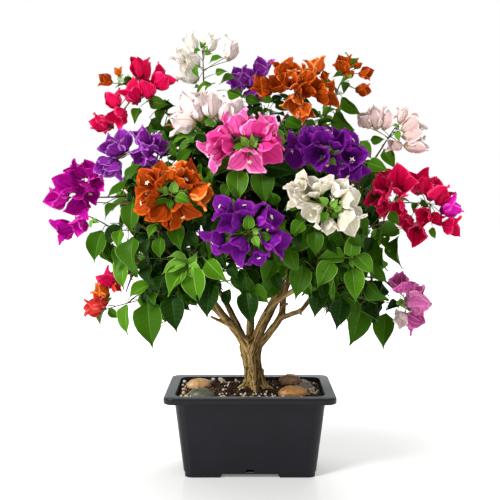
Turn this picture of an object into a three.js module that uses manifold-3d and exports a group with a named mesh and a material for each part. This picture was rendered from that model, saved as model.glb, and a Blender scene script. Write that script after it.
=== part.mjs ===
// A bougainvillea bush in a black plastic pot. A short flared trunk forks into boughs, each
// bough carries one mass of foliage, and flower heads in nine colours stand out of the crown.
// Millimetres, +Z up, +Y away from the front. The origin is on the ground, under the pot.
import * as THREE from "three";
import { mergeVertices } from "three/addons/utils/BufferGeometryUtils.js";
import Module from "manifold-3d";

const wasm = await Module();
wasm.setup();
const { Manifold } = wasm;

// Driving sizes

const JOIN_GAP = 0.3; // clear space where one piece meets or rests on the next

const POT = {
  height: 138,
  rim: { halfWidth: 140, halfDepth: 100, corner: 13, thick: 11, edge: 1.5 },
  body: { halfWidth: 121, halfDepth: 81, corner: 15 },
  foot: { halfWidth: 107, halfDepth: 69, corner: 13, height: 8, inset: 2 },
  wall: 2.6,
  floorUnder: 6,
  floorThick: 2.2,
};
const NOTCH = { frontHalf: 48.5, sideHalf: 30 }; // gaps between the four feet
const DRAIN_SLOT = { halfWidth: 5.5, from: 9.4, to: 13.4 }; // in the front and back walls
const DRAIN_HOLE = { radius: 6, acrossX: 62, acrossY: 32 }; // in the floor

const SOIL_TOP = 130;
const PEBBLES = [
  { name: "pebble_tan", at: [-88, 22], half: [22, 13, 12], turn: 0.35, sunk: 0.3 },
  { name: "pebble_green", at: [-80, -48], half: [22, 14, 11], turn: -0.1, sunk: 0.35 },
  { name: "pebble_brown", at: [70, 46], half: [20, 13, 14], turn: 0.1, sunk: 0.3 },
  { name: "pebble_grey", at: [96, 16], half: [12, 10, 9], turn: 0.6, sunk: 0.3 },
  { name: "pebble_amber", at: [71, -46], half: [24, 15, 12], turn: 0.05, sunk: 0.25 },
];

const TRUNK = {
  // centre and radius at each height above the soil
  rings: [
    { up: 0, x: 8, r: 22, lobe: 0.32 },
    { up: 4, x: 8, r: 20, lobe: 0.26 },
    { up: 11, x: 7.5, r: 17.6, lobe: 0.14 },
    { up: 22, x: 6.5, r: 16.2, lobe: 0.06 },
    { up: 36, x: 5, r: 15.6, lobe: 0.03 },
    { up: 50, x: 3, r: 16, lobe: 0.03 },
    { up: 63, x: 1.5, r: 17.5, lobe: 0.05 },
    { up: 74, x: 1, r: 19.3, lobe: 0.05 },
    { up: 83, x: 0.5, r: 17.5, lobe: 0.03 },
    { up: 90, x: 0, r: 11.5, lobe: 0 },
    { up: 93, x: 0, r: 4, lobe: 0 },
  ],
  y: 8,
  sides: 15,
  rootCount: 5,
  rootTurn: 1.35,
};

// Each bough starts inside what carries it, is cut clear of it, and ends where its mass begins.
const BOUGHS = [
  {
    mass: "left_low",
    path: [[-4, 6, 204], [-28, 2, 238], [-55, -4, 268], [-98, -16, 303], [-138, -24, 328]],
    radius: [8.8, 4],
    hub: [-196, -30, 338],
  },
  {
    mass: "top_right",
    path: [[5, 4, 206], [22, -2, 250], [42, -8, 289], [62, -14, 350], [78, -14, 430], [86, -12, 490]],
    radius: [8.4, 4],
    hub: [95, -10, 562],
  },
  {
    mass: "right_high",
    path: [[10, 7, 200], [34, 6, 230], [53, 5, 258], [58, 10, 295], [85, 18, 350], [146, 22, 432]],
    radius: [7, 3.8],
    hub: [186, 20, 488],
  },
  {
    mass: "back_high",
    path: [[0, 12, 208], [1, 24, 262], [0, 32, 325], [-4, 70, 385], [-4, 108, 428]],
    radius: [7.6, 4],
    hub: [0, 168, 478],
  },
  {
    mass: "back_left_low",
    path: [[-4, 12, 200], [-24, 38, 240], [-50, 75, 285], [-78, 108, 315]],
    radius: [7.2, 4],
    hub: [-115, 155, 345],
  },
  {
    mass: "back_right_low",
    path: [[6, 12, 202], [30, 44, 245], [58, 85, 290], [80, 112, 315]],
    radius: [6.8, 4],
    hub: [115, 160, 345],
  },
  {
    mass: "left_high",
    path: [[-70, -8, 281], [-92, 4, 325], [-118, 14, 385], [-142, 18, 440]],
    radius: [5.4, 3.6],
    hub: [-176, 20, 497],
  },
  {
    mass: "front_left_low",
    path: [[-38, 0, 249], [-55, -35, 280], [-70, -78, 306], [-82, -112, 324]],
    radius: [5.4, 3.6],
    hub: [-98, -160, 346],
  },
  {
    mass: "top_left",
    path: [[0, 30, 312], [-16, 28, 370], [-42, 16, 440], [-62, 2, 500]],
    radius: [5.2, 3.6],
    hub: [-88, -14, 565],
  },
  {
    mass: "front_high",
    path: [[50, -10, 310], [36, -45, 355], [14, -88, 400], [2, -122, 430]],
    radius: [5.2, 3.6],
    hub: [-8, -174, 466],
  },
  {
    mass: "front_right_low",
    path: [[30, -4, 266], [46, -45, 290], [68, -88, 310], [82, -116, 324]],
    radius: [5.4, 3.6],
    hub: [98, -164, 345],
  },
  {
    mass: "right_low",
    path: [[50, 5, 252], [72, 0, 262], [86, -4, 268], [104, -9, 290], [136, -14, 310], [156, -16, 320]],
    radius: [4.6, 3.4],
    hub: [206, -20, 338],
  },
];

// The crown's twigs end on a shell round its core, and its leaves hang a little past that.
const CORE = new THREE.Vector3(0, 0, 420);
const SHELL = { x: 256, y: 228, up: 172, down: 214 };
const TRUNK_VIEW = { half: 96, above: 306 }; // twigs end higher in front of the trunk and behind it
const LOWEST_SLOPE = -0.67; // sine of the steepest way down that a twig grows
const TWIG_COUNT = 57;
// Ends of the sprays that hang lowest, beside the shell's own twigs
const LOW_SPRAYS = [
  [-164, -94, 288],
  [-206, -30, 302],
  [-246, -34, 388],
  [158, -106, 276],
  [200, -64, 276],
  [236, -2, 292],
  [-54, -146, 334],
  [-16, -196, 348],
  [46, -150, 336],
  [-118, 128, 290],
  [150, 110, 292],
];
const TWIG = { sides: 3, thick: 2.6, thin: 2, arch: 0.1 };
const STEM = { along: 0.85, radius: 4.2 }; // twigs start over this share of a mass's stem
const LEAVES_ON_TWIG = [0.42, 0.6, 0.76, 0.97]; // shares of the twig's length
const LEAVES_ON_CARRIER = [0.4, 0.72];
const LEAF = { long: 79, wide: 54, thick: 2, widest: 0.4, fold: 0.1, sunk: 0.3 };
const LEAF_WAY = { aside: 0.8, over: 0.5, along: 0.45, outward: 0.3 }; // parts of the way a tip points
const LEAF_DROOP = { top: 0.3, low: 1.05 }; // how much of it is straight down, by height
const LEAF_FACE = { up: 0.4, loose: 1.5 }; // how far faces lean up, and stray at random
const LEAF_SIZES = [0.85, 1.1];
const LEAF_TRIES = 6;
const BLOOM = {
  long: 38,
  wide: 27,
  tipRise: 0.82,
  valleyWide: 0.74,
  valleyRise: 0.6,
  neck: 3,
  throat: 6,
  stalk: 1.5,
  knob: 4.5,
};
const BLOOM_SIZES = [0.88, 1.06];
const BLOOM_TRIES = 8;
const HEAD_FACE = { middle: 0.35, edge: 1.9 }; // radians from the way a head looks to its blooms' ways
const HEAD_STEM = 0.55; // share of a head's half size that its stem reaches back from its middle

const VARIETIES = {
  crimson: { bract: 0xc4083c },
  magenta: { bract: 0xb80e8c },
  purple: { bract: 0x5f1a92 },
  orange: { bract: 0xd9520f },
  pink: { bract: 0xee4fa0 },
  white: { bract: 0xf1ead6 },
  blush: { bract: 0xecccc9 },
  coral: { bract: 0xd8402f },
  mauve: { bract: 0xc75fa6 },
};

// A flower head: the variety, its middle, its half width and half height, and its blooms.
const HEADS = [
  { name: "left_top", variety: "crimson", at: [-190, -70, 636], wide: 70, high: 52, blooms: 6 },
  { name: "top", variety: "white", at: [-78, -8, 692], wide: 60, high: 44, blooms: 6 },
  { name: "upper_left", variety: "blush", at: [-68, -128, 602], wide: 60, high: 42, blooms: 6 },
  { name: "top", variety: "purple", at: [-2, 26, 664], wide: 40, high: 38, blooms: 4 },
  { name: "top", variety: "orange", at: [68, -88, 634], wide: 66, high: 44, blooms: 6 },
  { name: "right_top", variety: "orange", at: [160, -8, 668], wide: 60, high: 44, blooms: 5 },
  { name: "right", variety: "blush", at: [240, -20, 574], wide: 66, high: 46, blooms: 6 },
  { name: "upper_left", variety: "purple", at: [-186, -118, 530], wide: 54, high: 46, blooms: 6 },
  { name: "left", variety: "magenta", at: [-299, -40, 458], wide: 54, high: 64, blooms: 7 },
  { name: "front_left", variety: "orange", at: [-112, -222, 466], wide: 60, high: 54, blooms: 7 },
  { name: "front", variety: "pink", at: [-12, -208, 548], wide: 68, high: 50, blooms: 8 },
  { name: "front_right", variety: "purple", at: [114, -184, 534], wide: 64, high: 48, blooms: 7 },
  { name: "front_right", variety: "white", at: [112, -228, 446], wide: 62, high: 52, blooms: 7 },
  { name: "right", variety: "crimson", at: [294, -46, 448], wide: 60, high: 60, blooms: 6 },
  { name: "right_inner", variety: "crimson", at: [226, -84, 450], wide: 50, high: 56, blooms: 4 },
  { name: "front", variety: "purple", at: [-4, -246, 412], wide: 62, high: 52, blooms: 7 },
  { name: "lower_left", variety: "coral", at: [-250, -60, 304], wide: 42, high: 44, blooms: 3 },
  { name: "lower_right", variety: "mauve", at: [262, -50, 288], wide: 46, high: 50, blooms: 4 },
  { name: "back_left_top", variety: "crimson", at: [-150, 140, 610], wide: 60, high: 48, blooms: 5 },
  { name: "back_left", variety: "orange", at: [-224, 130, 452], wide: 60, high: 54, blooms: 5 },
  { name: "back_top", variety: "blush", at: [-40, 190, 592], wide: 60, high: 46, blooms: 5 },
  { name: "back", variety: "purple", at: [70, 236, 470], wide: 62, high: 52, blooms: 5 },
  { name: "back_right_top", variety: "pink", at: [130, 150, 602], wide: 60, high: 48, blooms: 5 },
  { name: "back", variety: "magenta", at: [-84, 238, 448], wide: 60, high: 54, blooms: 5 },
  { name: "back_right", variety: "crimson", at: [222, 132, 470], wide: 62, high: 56, blooms: 5 },
  { name: "back_low", variety: "white", at: [0, 240, 362], wide: 52, high: 46, blooms: 4 },
  { name: "back_right_low", variety: "orange", at: [196, 166, 338], wide: 50, high: 46, blooms: 4 },
  { name: "back_left_low", variety: "mauve", at: [-180, 174, 330], wide: 48, high: 46, blooms: 4 },
];

const UP = new THREE.Vector3(0, 0, 1);
const GOLDEN_TURN = Math.PI * (3 - Math.sqrt(5));
const GOLDEN_SHARE = (Math.sqrt(5) - 1) / 2;
const CROWN_SEED = 4711;
const LEAST_CORNER = 3; // millimetres, the tightest corner of a rounded box

// Solids from meshes and back

function solidOf(geometry) {
  const bare = geometry.index ? geometry.toNonIndexed() : geometry.clone();
  bare.deleteAttribute("normal");
  bare.deleteAttribute("uv");
  const merged = mergeVertices(bare, 1e-4);
  return new Manifold(
    new wasm.Mesh({
      numProp: 3,
      vertProperties: merged.attributes.position.array,
      triVerts: new Uint32Array(merged.index.array),
    }),
  );
}

// A closed solid from corner points and faces given as triples of their numbers.
function solidFrom(points, faces) {
  const positions = new Float32Array(points.length * 3);
  points.forEach((p, i) => p.toArray(positions, i * 3));
  return new Manifold(
    new wasm.Mesh({ numProp: 3, vertProperties: positions, triVerts: new Uint32Array(faces.flat()) }),
  );
}

// A solid skinned over rings of points, each ring turning left round the way of travel.
function skinned(rings) {
  const count = rings[0].length;
  const points = rings.flat();
  const last = rings.length - 1;
  const top = last * count;
  const faces = [];
  for (let r = 0; r < last; r++) {
    for (let k = 0; k < count; k++) {
      const next = (k + 1) % count;
      const [a, b] = [r * count + k, r * count + next];
      const [c, d] = [a + count, b + count];
      faces.push([a, b, d], [a, d, c]);
    }
  }
  for (let k = 1; k < count - 1; k++) {
    faces.push([0, k + 1, k], [top, top + k, top + k + 1]);
  }
  return solidFrom(points, faces);
}

function fused(solids) {
  return solids.length === 1 ? solids[0] : Manifold.union(solids);
}

// The largest closed body, without loose scraps and with any sealed hollow filled.
function mainBody(solid) {
  return solid.decompose().reduce((best, body) => (body.volume() > best.volume() ? body : best));
}

function meshOf(solid, name, material) {
  const { numProp, numVert, vertProperties, triVerts } = solid.getMesh();
  const positions = new Float32Array(numVert * 3);
  for (let i = 0; i < numVert; i++) {
    positions.set(vertProperties.subarray(i * numProp, i * numProp + 3), i * 3);
  }
  const geometry = new THREE.BufferGeometry();
  geometry.setAttribute("position", new THREE.BufferAttribute(positions, 3));
  geometry.setIndex(new THREE.BufferAttribute(new Uint32Array(triVerts), 1));
  const mesh = new THREE.Mesh(geometry, material);
  mesh.name = name;
  return mesh;
}

function boxSolid(low, high) {
  const size = low.map((v, i) => high[i] - v);
  const geometry = new THREE.BoxGeometry(...size);
  geometry.translate(...low.map((v, i) => v + size[i] / 2));
  return solidOf(geometry);
}

// Repeatable random numbers from 0 to 1
function drawsFrom(seed) {
  let state = seed >>> 0;
  return () => {
    state = (state + 0x6d2b79f5) >>> 0;
    let t = state;
    t = Math.imul(t ^ (t >>> 15), t | 1);
    t ^= t + Math.imul(t ^ (t >>> 7), t | 61);
    return ((t ^ (t >>> 14)) >>> 0) / 4294967296;
  };
}

function vector(list) {
  return new THREE.Vector3(...list);
}

function mix(a, b, share) {
  return a + (b - a) * share;
}

// A small random step, up to half the given length along each axis
function strayed(length, draw) {
  return new THREE.Vector3(draw() - 0.5, draw() - 0.5, draw() - 0.5).multiplyScalar(length);
}

// Pot and soil

function roundedRing(halfWidth, halfDepth, corner, z) {
  const steps = 3;
  const radius = Math.max(corner, LEAST_CORNER);
  const ring = [];
  for (let quarter = 0; quarter < 4; quarter++) {
    const signX = quarter === 0 || quarter === 3 ? 1 : -1;
    const signY = quarter < 2 ? 1 : -1;
    for (let k = 0; k <= steps; k++) {
      const angle = (quarter + k / steps) * (Math.PI / 2);
      ring.push(
        new THREE.Vector3(
          signX * (halfWidth - radius) + radius * Math.cos(angle),
          signY * (halfDepth - radius) + radius * Math.sin(angle),
          z,
        ),
      );
    }
  }
  return ring;
}

const FLOOR_TOP = POT.floorUnder + POT.floorThick;
const RIM_UNDER = POT.height - POT.rim.thick;

// Half width, half depth and corner of the pot's outside wall at a height.
function wallAt(z, inward) {
  const share = (z - POT.foot.height) / (RIM_UNDER - POT.foot.height);
  return [
    mix(POT.foot.halfWidth, POT.body.halfWidth, share) - inward,
    mix(POT.foot.halfDepth, POT.body.halfDepth, share) - inward,
    mix(POT.foot.corner, POT.body.corner, share) - inward,
  ];
}

function makePot() {
  const { rim, foot } = POT;
  const shell = skinned([
    roundedRing(foot.halfWidth - 2 * foot.inset, foot.halfDepth - 2 * foot.inset, foot.corner, 0),
    roundedRing(foot.halfWidth - foot.inset, foot.halfDepth - foot.inset, foot.corner, foot.height),
    roundedRing(...wallAt(foot.height, 0), foot.height + foot.inset / 2),
    roundedRing(...wallAt(RIM_UNDER, 0), RIM_UNDER),
    roundedRing(rim.halfWidth - rim.edge, rim.halfDepth - rim.edge, rim.corner - rim.edge, RIM_UNDER),
    roundedRing(rim.halfWidth, rim.halfDepth, rim.corner, RIM_UNDER + rim.edge),
    roundedRing(rim.halfWidth, rim.halfDepth, rim.corner, POT.height - rim.edge),
    roundedRing(rim.halfWidth - rim.edge, rim.halfDepth - rim.edge, rim.corner - rim.edge, POT.height),
    roundedRing(...wallAt(POT.height, POT.wall - rim.edge), POT.height),
    roundedRing(...wallAt(POT.height - rim.edge, POT.wall), POT.height - rim.edge),
    roundedRing(...wallAt(FLOOR_TOP, POT.wall), FLOOR_TOP),
  ]);
  const footRing = 2 * foot.inset + POT.wall + 2;
  const recess = [foot.halfWidth, foot.halfDepth].map((half) => half - footRing);
  const below = -1;
  const past = POT.rim.halfWidth;
  const cuts = [
    skinned([
      roundedRing(recess[0], recess[1], foot.corner, below),
      roundedRing(recess[0], recess[1], foot.corner, POT.floorUnder),
    ]),
    boxSolid([-NOTCH.frontHalf, -past, below], [NOTCH.frontHalf, past, POT.floorUnder]),
    boxSolid([-past, -NOTCH.sideHalf, below], [past, NOTCH.sideHalf, POT.floorUnder]),
    boxSolid([-DRAIN_SLOT.halfWidth, -past, DRAIN_SLOT.from], [DRAIN_SLOT.halfWidth, past, DRAIN_SLOT.to]),
  ];
  for (const x of [-DRAIN_HOLE.acrossX, 0, DRAIN_HOLE.acrossX]) {
    for (const y of [-DRAIN_HOLE.acrossY, DRAIN_HOLE.acrossY]) {
      const hole = new THREE.CylinderGeometry(DRAIN_HOLE.radius, DRAIN_HOLE.radius, 4 * POT.floorThick, 8);
      hole.rotateX(Math.PI / 2);
      hole.translate(x, y, POT.floorUnder + POT.floorThick / 2);
      cuts.push(solidOf(hole));
    }
  }
  return mainBody(shell.subtract(fused(cuts)));
}

function makeSoil() {
  const clear = POT.wall + JOIN_GAP;
  const base = FLOOR_TOP + JOIN_GAP;
  return skinned([
    roundedRing(...wallAt(base, clear), base),
    roundedRing(...wallAt(SOIL_TOP, clear), SOIL_TOP),
  ]);
}

function makePebble({ at, half, turn, sunk }) {
  const geometry = new THREE.SphereGeometry(1, 9, 6);
  geometry.rotateX(Math.PI / 2);
  geometry.scale(...half);
  geometry.rotateZ(turn);
  geometry.translate(at[0], at[1], SOIL_TOP + half[2] * (1 - 2 * sunk));
  const reach = 2 * POT.height;
  const ground = boxSolid([-reach, -reach, 0], [reach, reach, SOIL_TOP + JOIN_GAP]);
  return mainBody(solidOf(geometry).subtract(ground));
}

// Trunk and boughs

function makeTrunk(grow) {
  const rings = TRUNK.rings.map(({ up, x, r, lobe }, level) => {
    const ends = level === 0 ? -grow : level === TRUNK.rings.length - 1 ? grow : 0;
    const z = SOIL_TOP + JOIN_GAP + up + ends;
    return Array.from({ length: TRUNK.sides }, (_, k) => {
      const angle = (k / TRUNK.sides) * 2 * Math.PI;
      const root = Math.cos(TRUNK.rootCount * angle + TRUNK.rootTurn);
      const radius = r * (1 + lobe * root) + grow;
      return new THREE.Vector3(x + radius * Math.cos(angle), TRUNK.y + radius * Math.sin(angle), z);
    });
  });
  return skinned(rings);
}

const TAPER = 0.8; // under 1, so a limb thins soonest near its foot

// A tapering limb along a smooth curve through the given points.
function limb(points, [thick, thin], sides, steps, grow) {
  const curve = new THREE.CatmullRomCurve3(points, false, "centripetal");
  const { normals, binormals } = curve.computeFrenetFrames(steps, false);
  const rings = normals.map((normal, i) => {
    const share = i / steps;
    const middle = curve.getPointAt(share);
    const radius = mix(thick, thin, Math.pow(share, TAPER)) + grow;
    if (grow && i === steps) middle.addScaledVector(curve.getTangentAt(1), grow);
    return Array.from({ length: sides }, (_, k) => {
      const angle = (k / sides) * 2 * Math.PI;
      return middle
        .clone()
        .addScaledVector(normal, radius * Math.cos(angle))
        .addScaledVector(binormals[i], radius * Math.sin(angle));
    });
  });
  return skinned(rings);
}

// A thin twig along straight stretches, with a flat cut at each end.
function twig(points, thick, thin, grow = 0) {
  const last = points.length - 1;
  const rings = points.map((middle, i) => {
    const along = points[Math.min(i + 1, last)].clone().sub(points[Math.max(i - 1, 0)]).normalize();
    const across = sideOf(along);
    const over = along.clone().cross(across);
    const radius = mix(thick, thin, i / last) + grow;
    return Array.from({ length: TWIG.sides }, (_, k) => {
      const angle = (k / TWIG.sides) * 2 * Math.PI;
      return middle
        .clone()
        .addScaledVector(across, radius * Math.cos(angle))
        .addScaledVector(over, radius * Math.sin(angle));
    });
  });
  return skinned(rings);
}

// A level direction square to a twig.
function sideOf(along) {
  const side = UP.clone().cross(along);
  return side.lengthSq() < 1e-4 ? new THREE.Vector3(1, 0, 0) : side.normalize();
}

// Leaves and blooms

// Where a leaf goes: its foot, the way its tip points and the way its face looks.
function leafPlace(foot, along, number, draw) {
  const out = foot.clone().sub(CORE).normalize();
  const side = sideOf(along);
  const over = along.clone().cross(side);
  const turn = (number % 2 ? Math.PI : 0) + mix(-0.7, 0.7, draw());
  const below = THREE.MathUtils.clamp((CORE.z + SHELL.up - foot.z) / SHELL.up, 0, 1);
  const tipWay = side
    .multiplyScalar(LEAF_WAY.aside * Math.cos(turn))
    .addScaledVector(over, LEAF_WAY.over * Math.sin(turn))
    .addScaledVector(along, LEAF_WAY.along)
    .addScaledVector(out, LEAF_WAY.outward)
    .addScaledVector(UP, -mix(LEAF_DROOP.top, LEAF_DROOP.low, below))
    .normalize();
  const face = out.addScaledVector(UP, LEAF_FACE.up).add(strayed(LEAF_FACE.loose, draw));
  face.addScaledVector(tipWay, -face.dot(tipWay)).normalize();
  return { foot, tipWay, face };
}

function leafPoints({ foot, tipWay, face }, size, grow) {
  const across = tipWay.clone().cross(face);
  const at = (up, side, lift) =>
    foot.clone().addScaledVector(tipWay, up).addScaledVector(across, side).addScaledVector(face, lift);
  const long = LEAF.long * size + grow;
  const widest = LEAF.widest * LEAF.long * size;
  const half = (LEAF.wide * size) / 2 + grow;
  const fold = LEAF.fold * half;
  return [
    at(-LEAF.sunk, 0, 0),
    at(long, 0, -2 * fold),
    at(widest, half, fold),
    at(widest, -half, fold),
    at(widest, 0, LEAF.thick - LEAF.widest * 2 * fold + grow),
  ];
}

// Four faces above round the thickest point, two below that meet along the midrib
const LEAF_FACES = [
  [0, 2, 4], [2, 1, 4], [1, 3, 4], [3, 0, 4],
  [2, 0, 1], [3, 1, 0],
];

// A bloom is three pointed bracts on a stalk: a triangular stalk from the middle of the head
// that widens into a cup with three tips, as one closed piece.
function bloomPoints({ root, foot, way, turn }, size, grow) {
  const stalkWay = foot.clone().sub(root).normalize();
  const ring = (middle, axis, radius, up, turns) => {
    const side = sideOf(axis);
    const over = axis.clone().cross(side);
    return turns.map((angle) =>
      middle
        .clone()
        .addScaledVector(axis, up)
        .addScaledVector(side, radius * Math.cos(angle))
        .addScaledVector(over, radius * Math.sin(angle)),
    );
  };
  const third = (2 * Math.PI) / 3;
  const tips = [turn, turn + third, turn + 2 * third];
  const valleys = tips.map((angle) => angle + third / 2);
  const long = BLOOM.long * size + grow;
  const wide = BLOOM.wide * size + grow;
  return [
    ...ring(root, stalkWay, BLOOM.stalk + grow, BLOOM.stalk - grow, tips),
    ...ring(foot, way, BLOOM.neck + grow, 0, tips),
    ...ring(foot, way, wide, BLOOM.tipRise * long, tips),
    ...ring(foot, way, BLOOM.valleyWide * wide, BLOOM.valleyRise * long, valleys),
    foot.clone().addScaledVector(way, BLOOM.throat + grow),
  ];
}

// The cup of a bloom without its stalk, to test that it clears the other blooms
function cupPoints(points) {
  return points.slice(3);
}

const CUP_FACES = [[0, 2, 1]];
const BLOOM_FACES = [[0, 2, 1]];
for (let k = 0; k < 3; k++) {
  const next = (k + 1) % 3;
  const [root, nextRoot, neck, nextNeck] = [k, next, 3 + k, 3 + next];
  const [tip, nextTip, valley, throat] = [6 + k, 6 + next, 9 + k, 12];
  BLOOM_FACES.push(
    [root, nextRoot, nextNeck],
    [root, nextNeck, neck],
    [neck, valley, tip],
    [neck, nextNeck, valley],
    [nextNeck, nextTip, valley],
    [throat, tip, valley],
    [throat, valley, nextTip],
  );
}
BLOOM_FACES.slice(1).forEach((face) => {
  if (face.every((corner) => corner >= 3)) CUP_FACES.push(face.map((corner) => corner - 3));
});

// Where a bloom of a head grows: round the way that the head looks, the first near its middle.
function bloomPlace(head, number, nudge, draw) {
  const facing = head.middle.clone().sub(CORE).normalize();
  const right = sideOf(facing);
  const rise = facing.clone().cross(right);
  const spread = Math.sqrt((number + 0.5) / head.blooms);
  const polar = mix(HEAD_FACE.middle, HEAD_FACE.edge, spread) + nudge * (draw() - 0.5);
  const turn = head.number + number * GOLDEN_TURN + nudge * (draw() - 0.5);
  const way = facing
    .clone()
    .multiplyScalar(Math.cos(polar))
    .addScaledVector(right, Math.sin(polar) * Math.cos(turn))
    .addScaledVector(rise, Math.sin(polar) * Math.sin(turn));
  const bloomReach = BLOOM.tipRise * BLOOM.long;
  const wide = Math.max(head.wide - bloomReach, BLOOM.knob);
  const high = Math.max(head.high - bloomReach, BLOOM.knob);
  const foot = head.middle.clone().add(new THREE.Vector3(way.x * wide, way.y * wide, way.z * high));
  way.add(strayed(0.4, draw)).normalize();
  return { root: head.middle, foot, way, turn: draw() * 2 * Math.PI, size: mix(...BLOOM_SIZES, draw()) };
}

// Assembly

const materials = {
  pot: new THREE.MeshStandardMaterial({ color: 0x2b2b2e, roughness: 0.5, metalness: 0 }),
  soil: new THREE.MeshStandardMaterial({ color: 0x2e2119, roughness: 0.95, metalness: 0 }),
  bark: new THREE.MeshStandardMaterial({ color: 0x75582f, roughness: 0.85, metalness: 0 }),
  leaf: new THREE.MeshStandardMaterial({ color: 0x2f6312, roughness: 0.5, metalness: 0 }),
  pebble: new THREE.MeshStandardMaterial({ color: 0x9a6a3c, roughness: 0.45, metalness: 0 }),
};
for (const [name, { bract }] of Object.entries(VARIETIES)) {
  materials[name] = new THREE.MeshStandardMaterial({ color: bract, roughness: 0.6, metalness: 0 });
}

const group = new THREE.Group();
group.name = "potted_bougainvillea";
group.add(meshOf(makePot(), "pot", materials.pot));
group.add(meshOf(makeSoil(), "soil", materials.soil));
PEBBLES.forEach((pebble) => group.add(meshOf(makePebble(pebble), pebble.name, materials.pebble)));

// Limbs, each cut clear of those before it
const BOUGH_SIDES = 6;
const limbs = [makeTrunk(0)];
let keepOff = makeTrunk(JOIN_GAP);
group.add(meshOf(limbs[0], "trunk", materials.bark));
for (const bough of BOUGHS) {
  const points = bough.path.map(vector);
  const steps = points.length + 1;
  const solid = mainBody(limb(points, bough.radius, BOUGH_SIDES, steps, 0).subtract(keepOff));
  keepOff = keepOff.add(limb(points, bough.radius, BOUGH_SIDES, steps, JOIN_GAP));
  limbs.push(solid);
  group.add(meshOf(solid, `bough_${bough.mass}`, materials.bark));
}

// A mass holds its stem, the carriers of its flower heads, and then its twigs and leaves.
const masses = BOUGHS.map((bough) => {
  const points = bough.path.map(vector);
  const curve = new THREE.CatmullRomCurve3(points, false, "centripetal");
  const hub = vector(bough.hub);
  const start = curve.getPointAt(1);
  const stem = twig([start, hub], STEM.radius, STEM.radius);
  return { name: bough.mass, hub, start, joined: 0, wood: [stem], twigs: [], leaves: [] };
});

// The distance by which a point lies inside a mass's own space, between its hub and the others'.
function insideBy(point, own) {
  const near = point.distanceToSquared(own.hub);
  return Math.min(
    ...masses
      .filter((other) => other !== own)
      .map((other) => (point.distanceToSquared(other.hub) - near) / (2 * own.hub.distanceTo(other.hub))),
  );
}

// The next free place along a mass's stem for a twig to start, evenly spread from its tip down
function nextStart(mass) {
  const share = (mass.joined * GOLDEN_SHARE) % 1;
  mass.joined += 1;
  return mass.hub.clone().lerp(mass.start, STEM.along * share);
}

function massOf(point) {
  return masses.find((mass) => insideBy(point, mass) > 0);
}

// Flower heads hang on straight carriers, which end clear of the head's own stem.
const heads = HEADS.map((head, number) => {
  const middle = vector(head.at);
  const mass = massOf(middle);
  const from = nextStart(mass);
  const way = middle.clone().sub(from).normalize();
  const root = middle.clone().addScaledVector(way, -HEAD_STEM * Math.min(head.wide, head.high));
  const carrierEnd = root.clone().addScaledVector(way, -JOIN_GAP);
  const carrier = { from, to: carrierEnd };
  mass.wood.push(twig([from, carrierEnd], TWIG.thick, TWIG.thin));
  return { ...head, number, mass, middle, root, carrier, solidName: `flowers_${head.variety}_${head.name}` };
});

const allWood = fused([keepOff, ...masses.flatMap((mass) => mass.wood)]);

function meets(solid, other) {
  return !solid.intersect(other).isEmpty();
}

// How far inside its own share of the blossom a point is, weighed by the heads' sizes.
function headClaim(point, head) {
  return point.distanceToSquared(head.middle) - Math.pow(Math.max(head.wide, head.high), 2);
}

const CLAIM_MARGIN = 60; // square millimetres between neighbours' claims

function isClaimedBy(point, head) {
  const own = headClaim(point, head) + CLAIM_MARGIN;
  return heads.every((other) => other === head || headClaim(point, other) > own);
}

const BLOOM_RIM = 6; // a bloom's points from here on are its tips, valleys and throat
const CLEAR = 0.35; // millimetres that a tested piece is grown by

for (const head of heads) {
  const draw = drawsFrom(CROWN_SEED + 100 + head.number);
  const knob = new THREE.OctahedronGeometry(BLOOM.knob);
  knob.translate(...head.middle);
  const blooms = [];
  for (let number = 0; number < head.blooms; number++) {
    for (let attempt = 0; attempt < BLOOM_TRIES; attempt++) {
      const nudge = 0.4 * attempt;
      const place = bloomPlace(head, number, nudge, draw);
      const points = bloomPoints(place, place.size, 0);
      const ownSpace = points.slice(BLOOM_RIM).every((p) => isClaimedBy(p, head));
      const grown = solidFrom(bloomPoints(place, place.size, CLEAR), BLOOM_FACES);
      const cup = solidFrom(cupPoints(points), CUP_FACES);
      if (!ownSpace || meets(grown, allWood) || blooms.some((bloom) => meets(cup, bloom))) continue;
      blooms.push(solidFrom(points, BLOOM_FACES));
      break;
    }
  }
  const stem = twig([head.root, head.middle], TWIG.thin, BLOOM.stalk);
  head.solid = mainBody(fused([stem, solidOf(knob), ...blooms]));
  group.add(meshOf(head.solid, head.solidName, materials[head.variety]));
}

// Twigs grow from each mass's stem to even places on the shell, with leaves along them.
const crownDraw = drawsFrom(CROWN_SEED);

function shellPoint(number) {
  const slope = 1 - ((1 - LOWEST_SLOPE) * (number + 0.5)) / TWIG_COUNT;
  const level = Math.sqrt(1 - slope * slope);
  const turn = number * GOLDEN_TURN;
  const way = new THREE.Vector3(level * Math.cos(turn), level * Math.sin(turn), slope);
  const tall = slope < 0 ? SHELL.down : SHELL.up;
  const reach = mix(0.86, 1, crownDraw()) / Math.hypot(way.x / SHELL.x, way.y / SHELL.y, way.z / tall);
  const end = CORE.clone().addScaledVector(way, reach);
  if (Math.abs(end.x) < TRUNK_VIEW.half) end.z = Math.max(end.z, TRUNK_VIEW.above);
  return end;
}

const twigPlans = [];
const twigEnds = Array.from({ length: TWIG_COUNT }, (_, number) => shellPoint(number));
for (const end of [...twigEnds, ...LOW_SPRAYS.map(vector)]) {
  const mass = massOf(end);
  const start = nextStart(mass);
  const middle = start.clone().lerp(end, 0.5).addScaledVector(UP, TWIG.arch * start.distanceTo(end));
  twigPlans.push({ mass, path: [start, middle, end], leaves: LEAVES_ON_TWIG, woody: true });
}
for (const { mass, carrier } of heads) {
  const middle = carrier.from.clone().lerp(carrier.to, 0.5);
  twigPlans.push({ mass, path: [carrier.from, middle, carrier.to], leaves: LEAVES_ON_CARRIER, woody: false });
}

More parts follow.
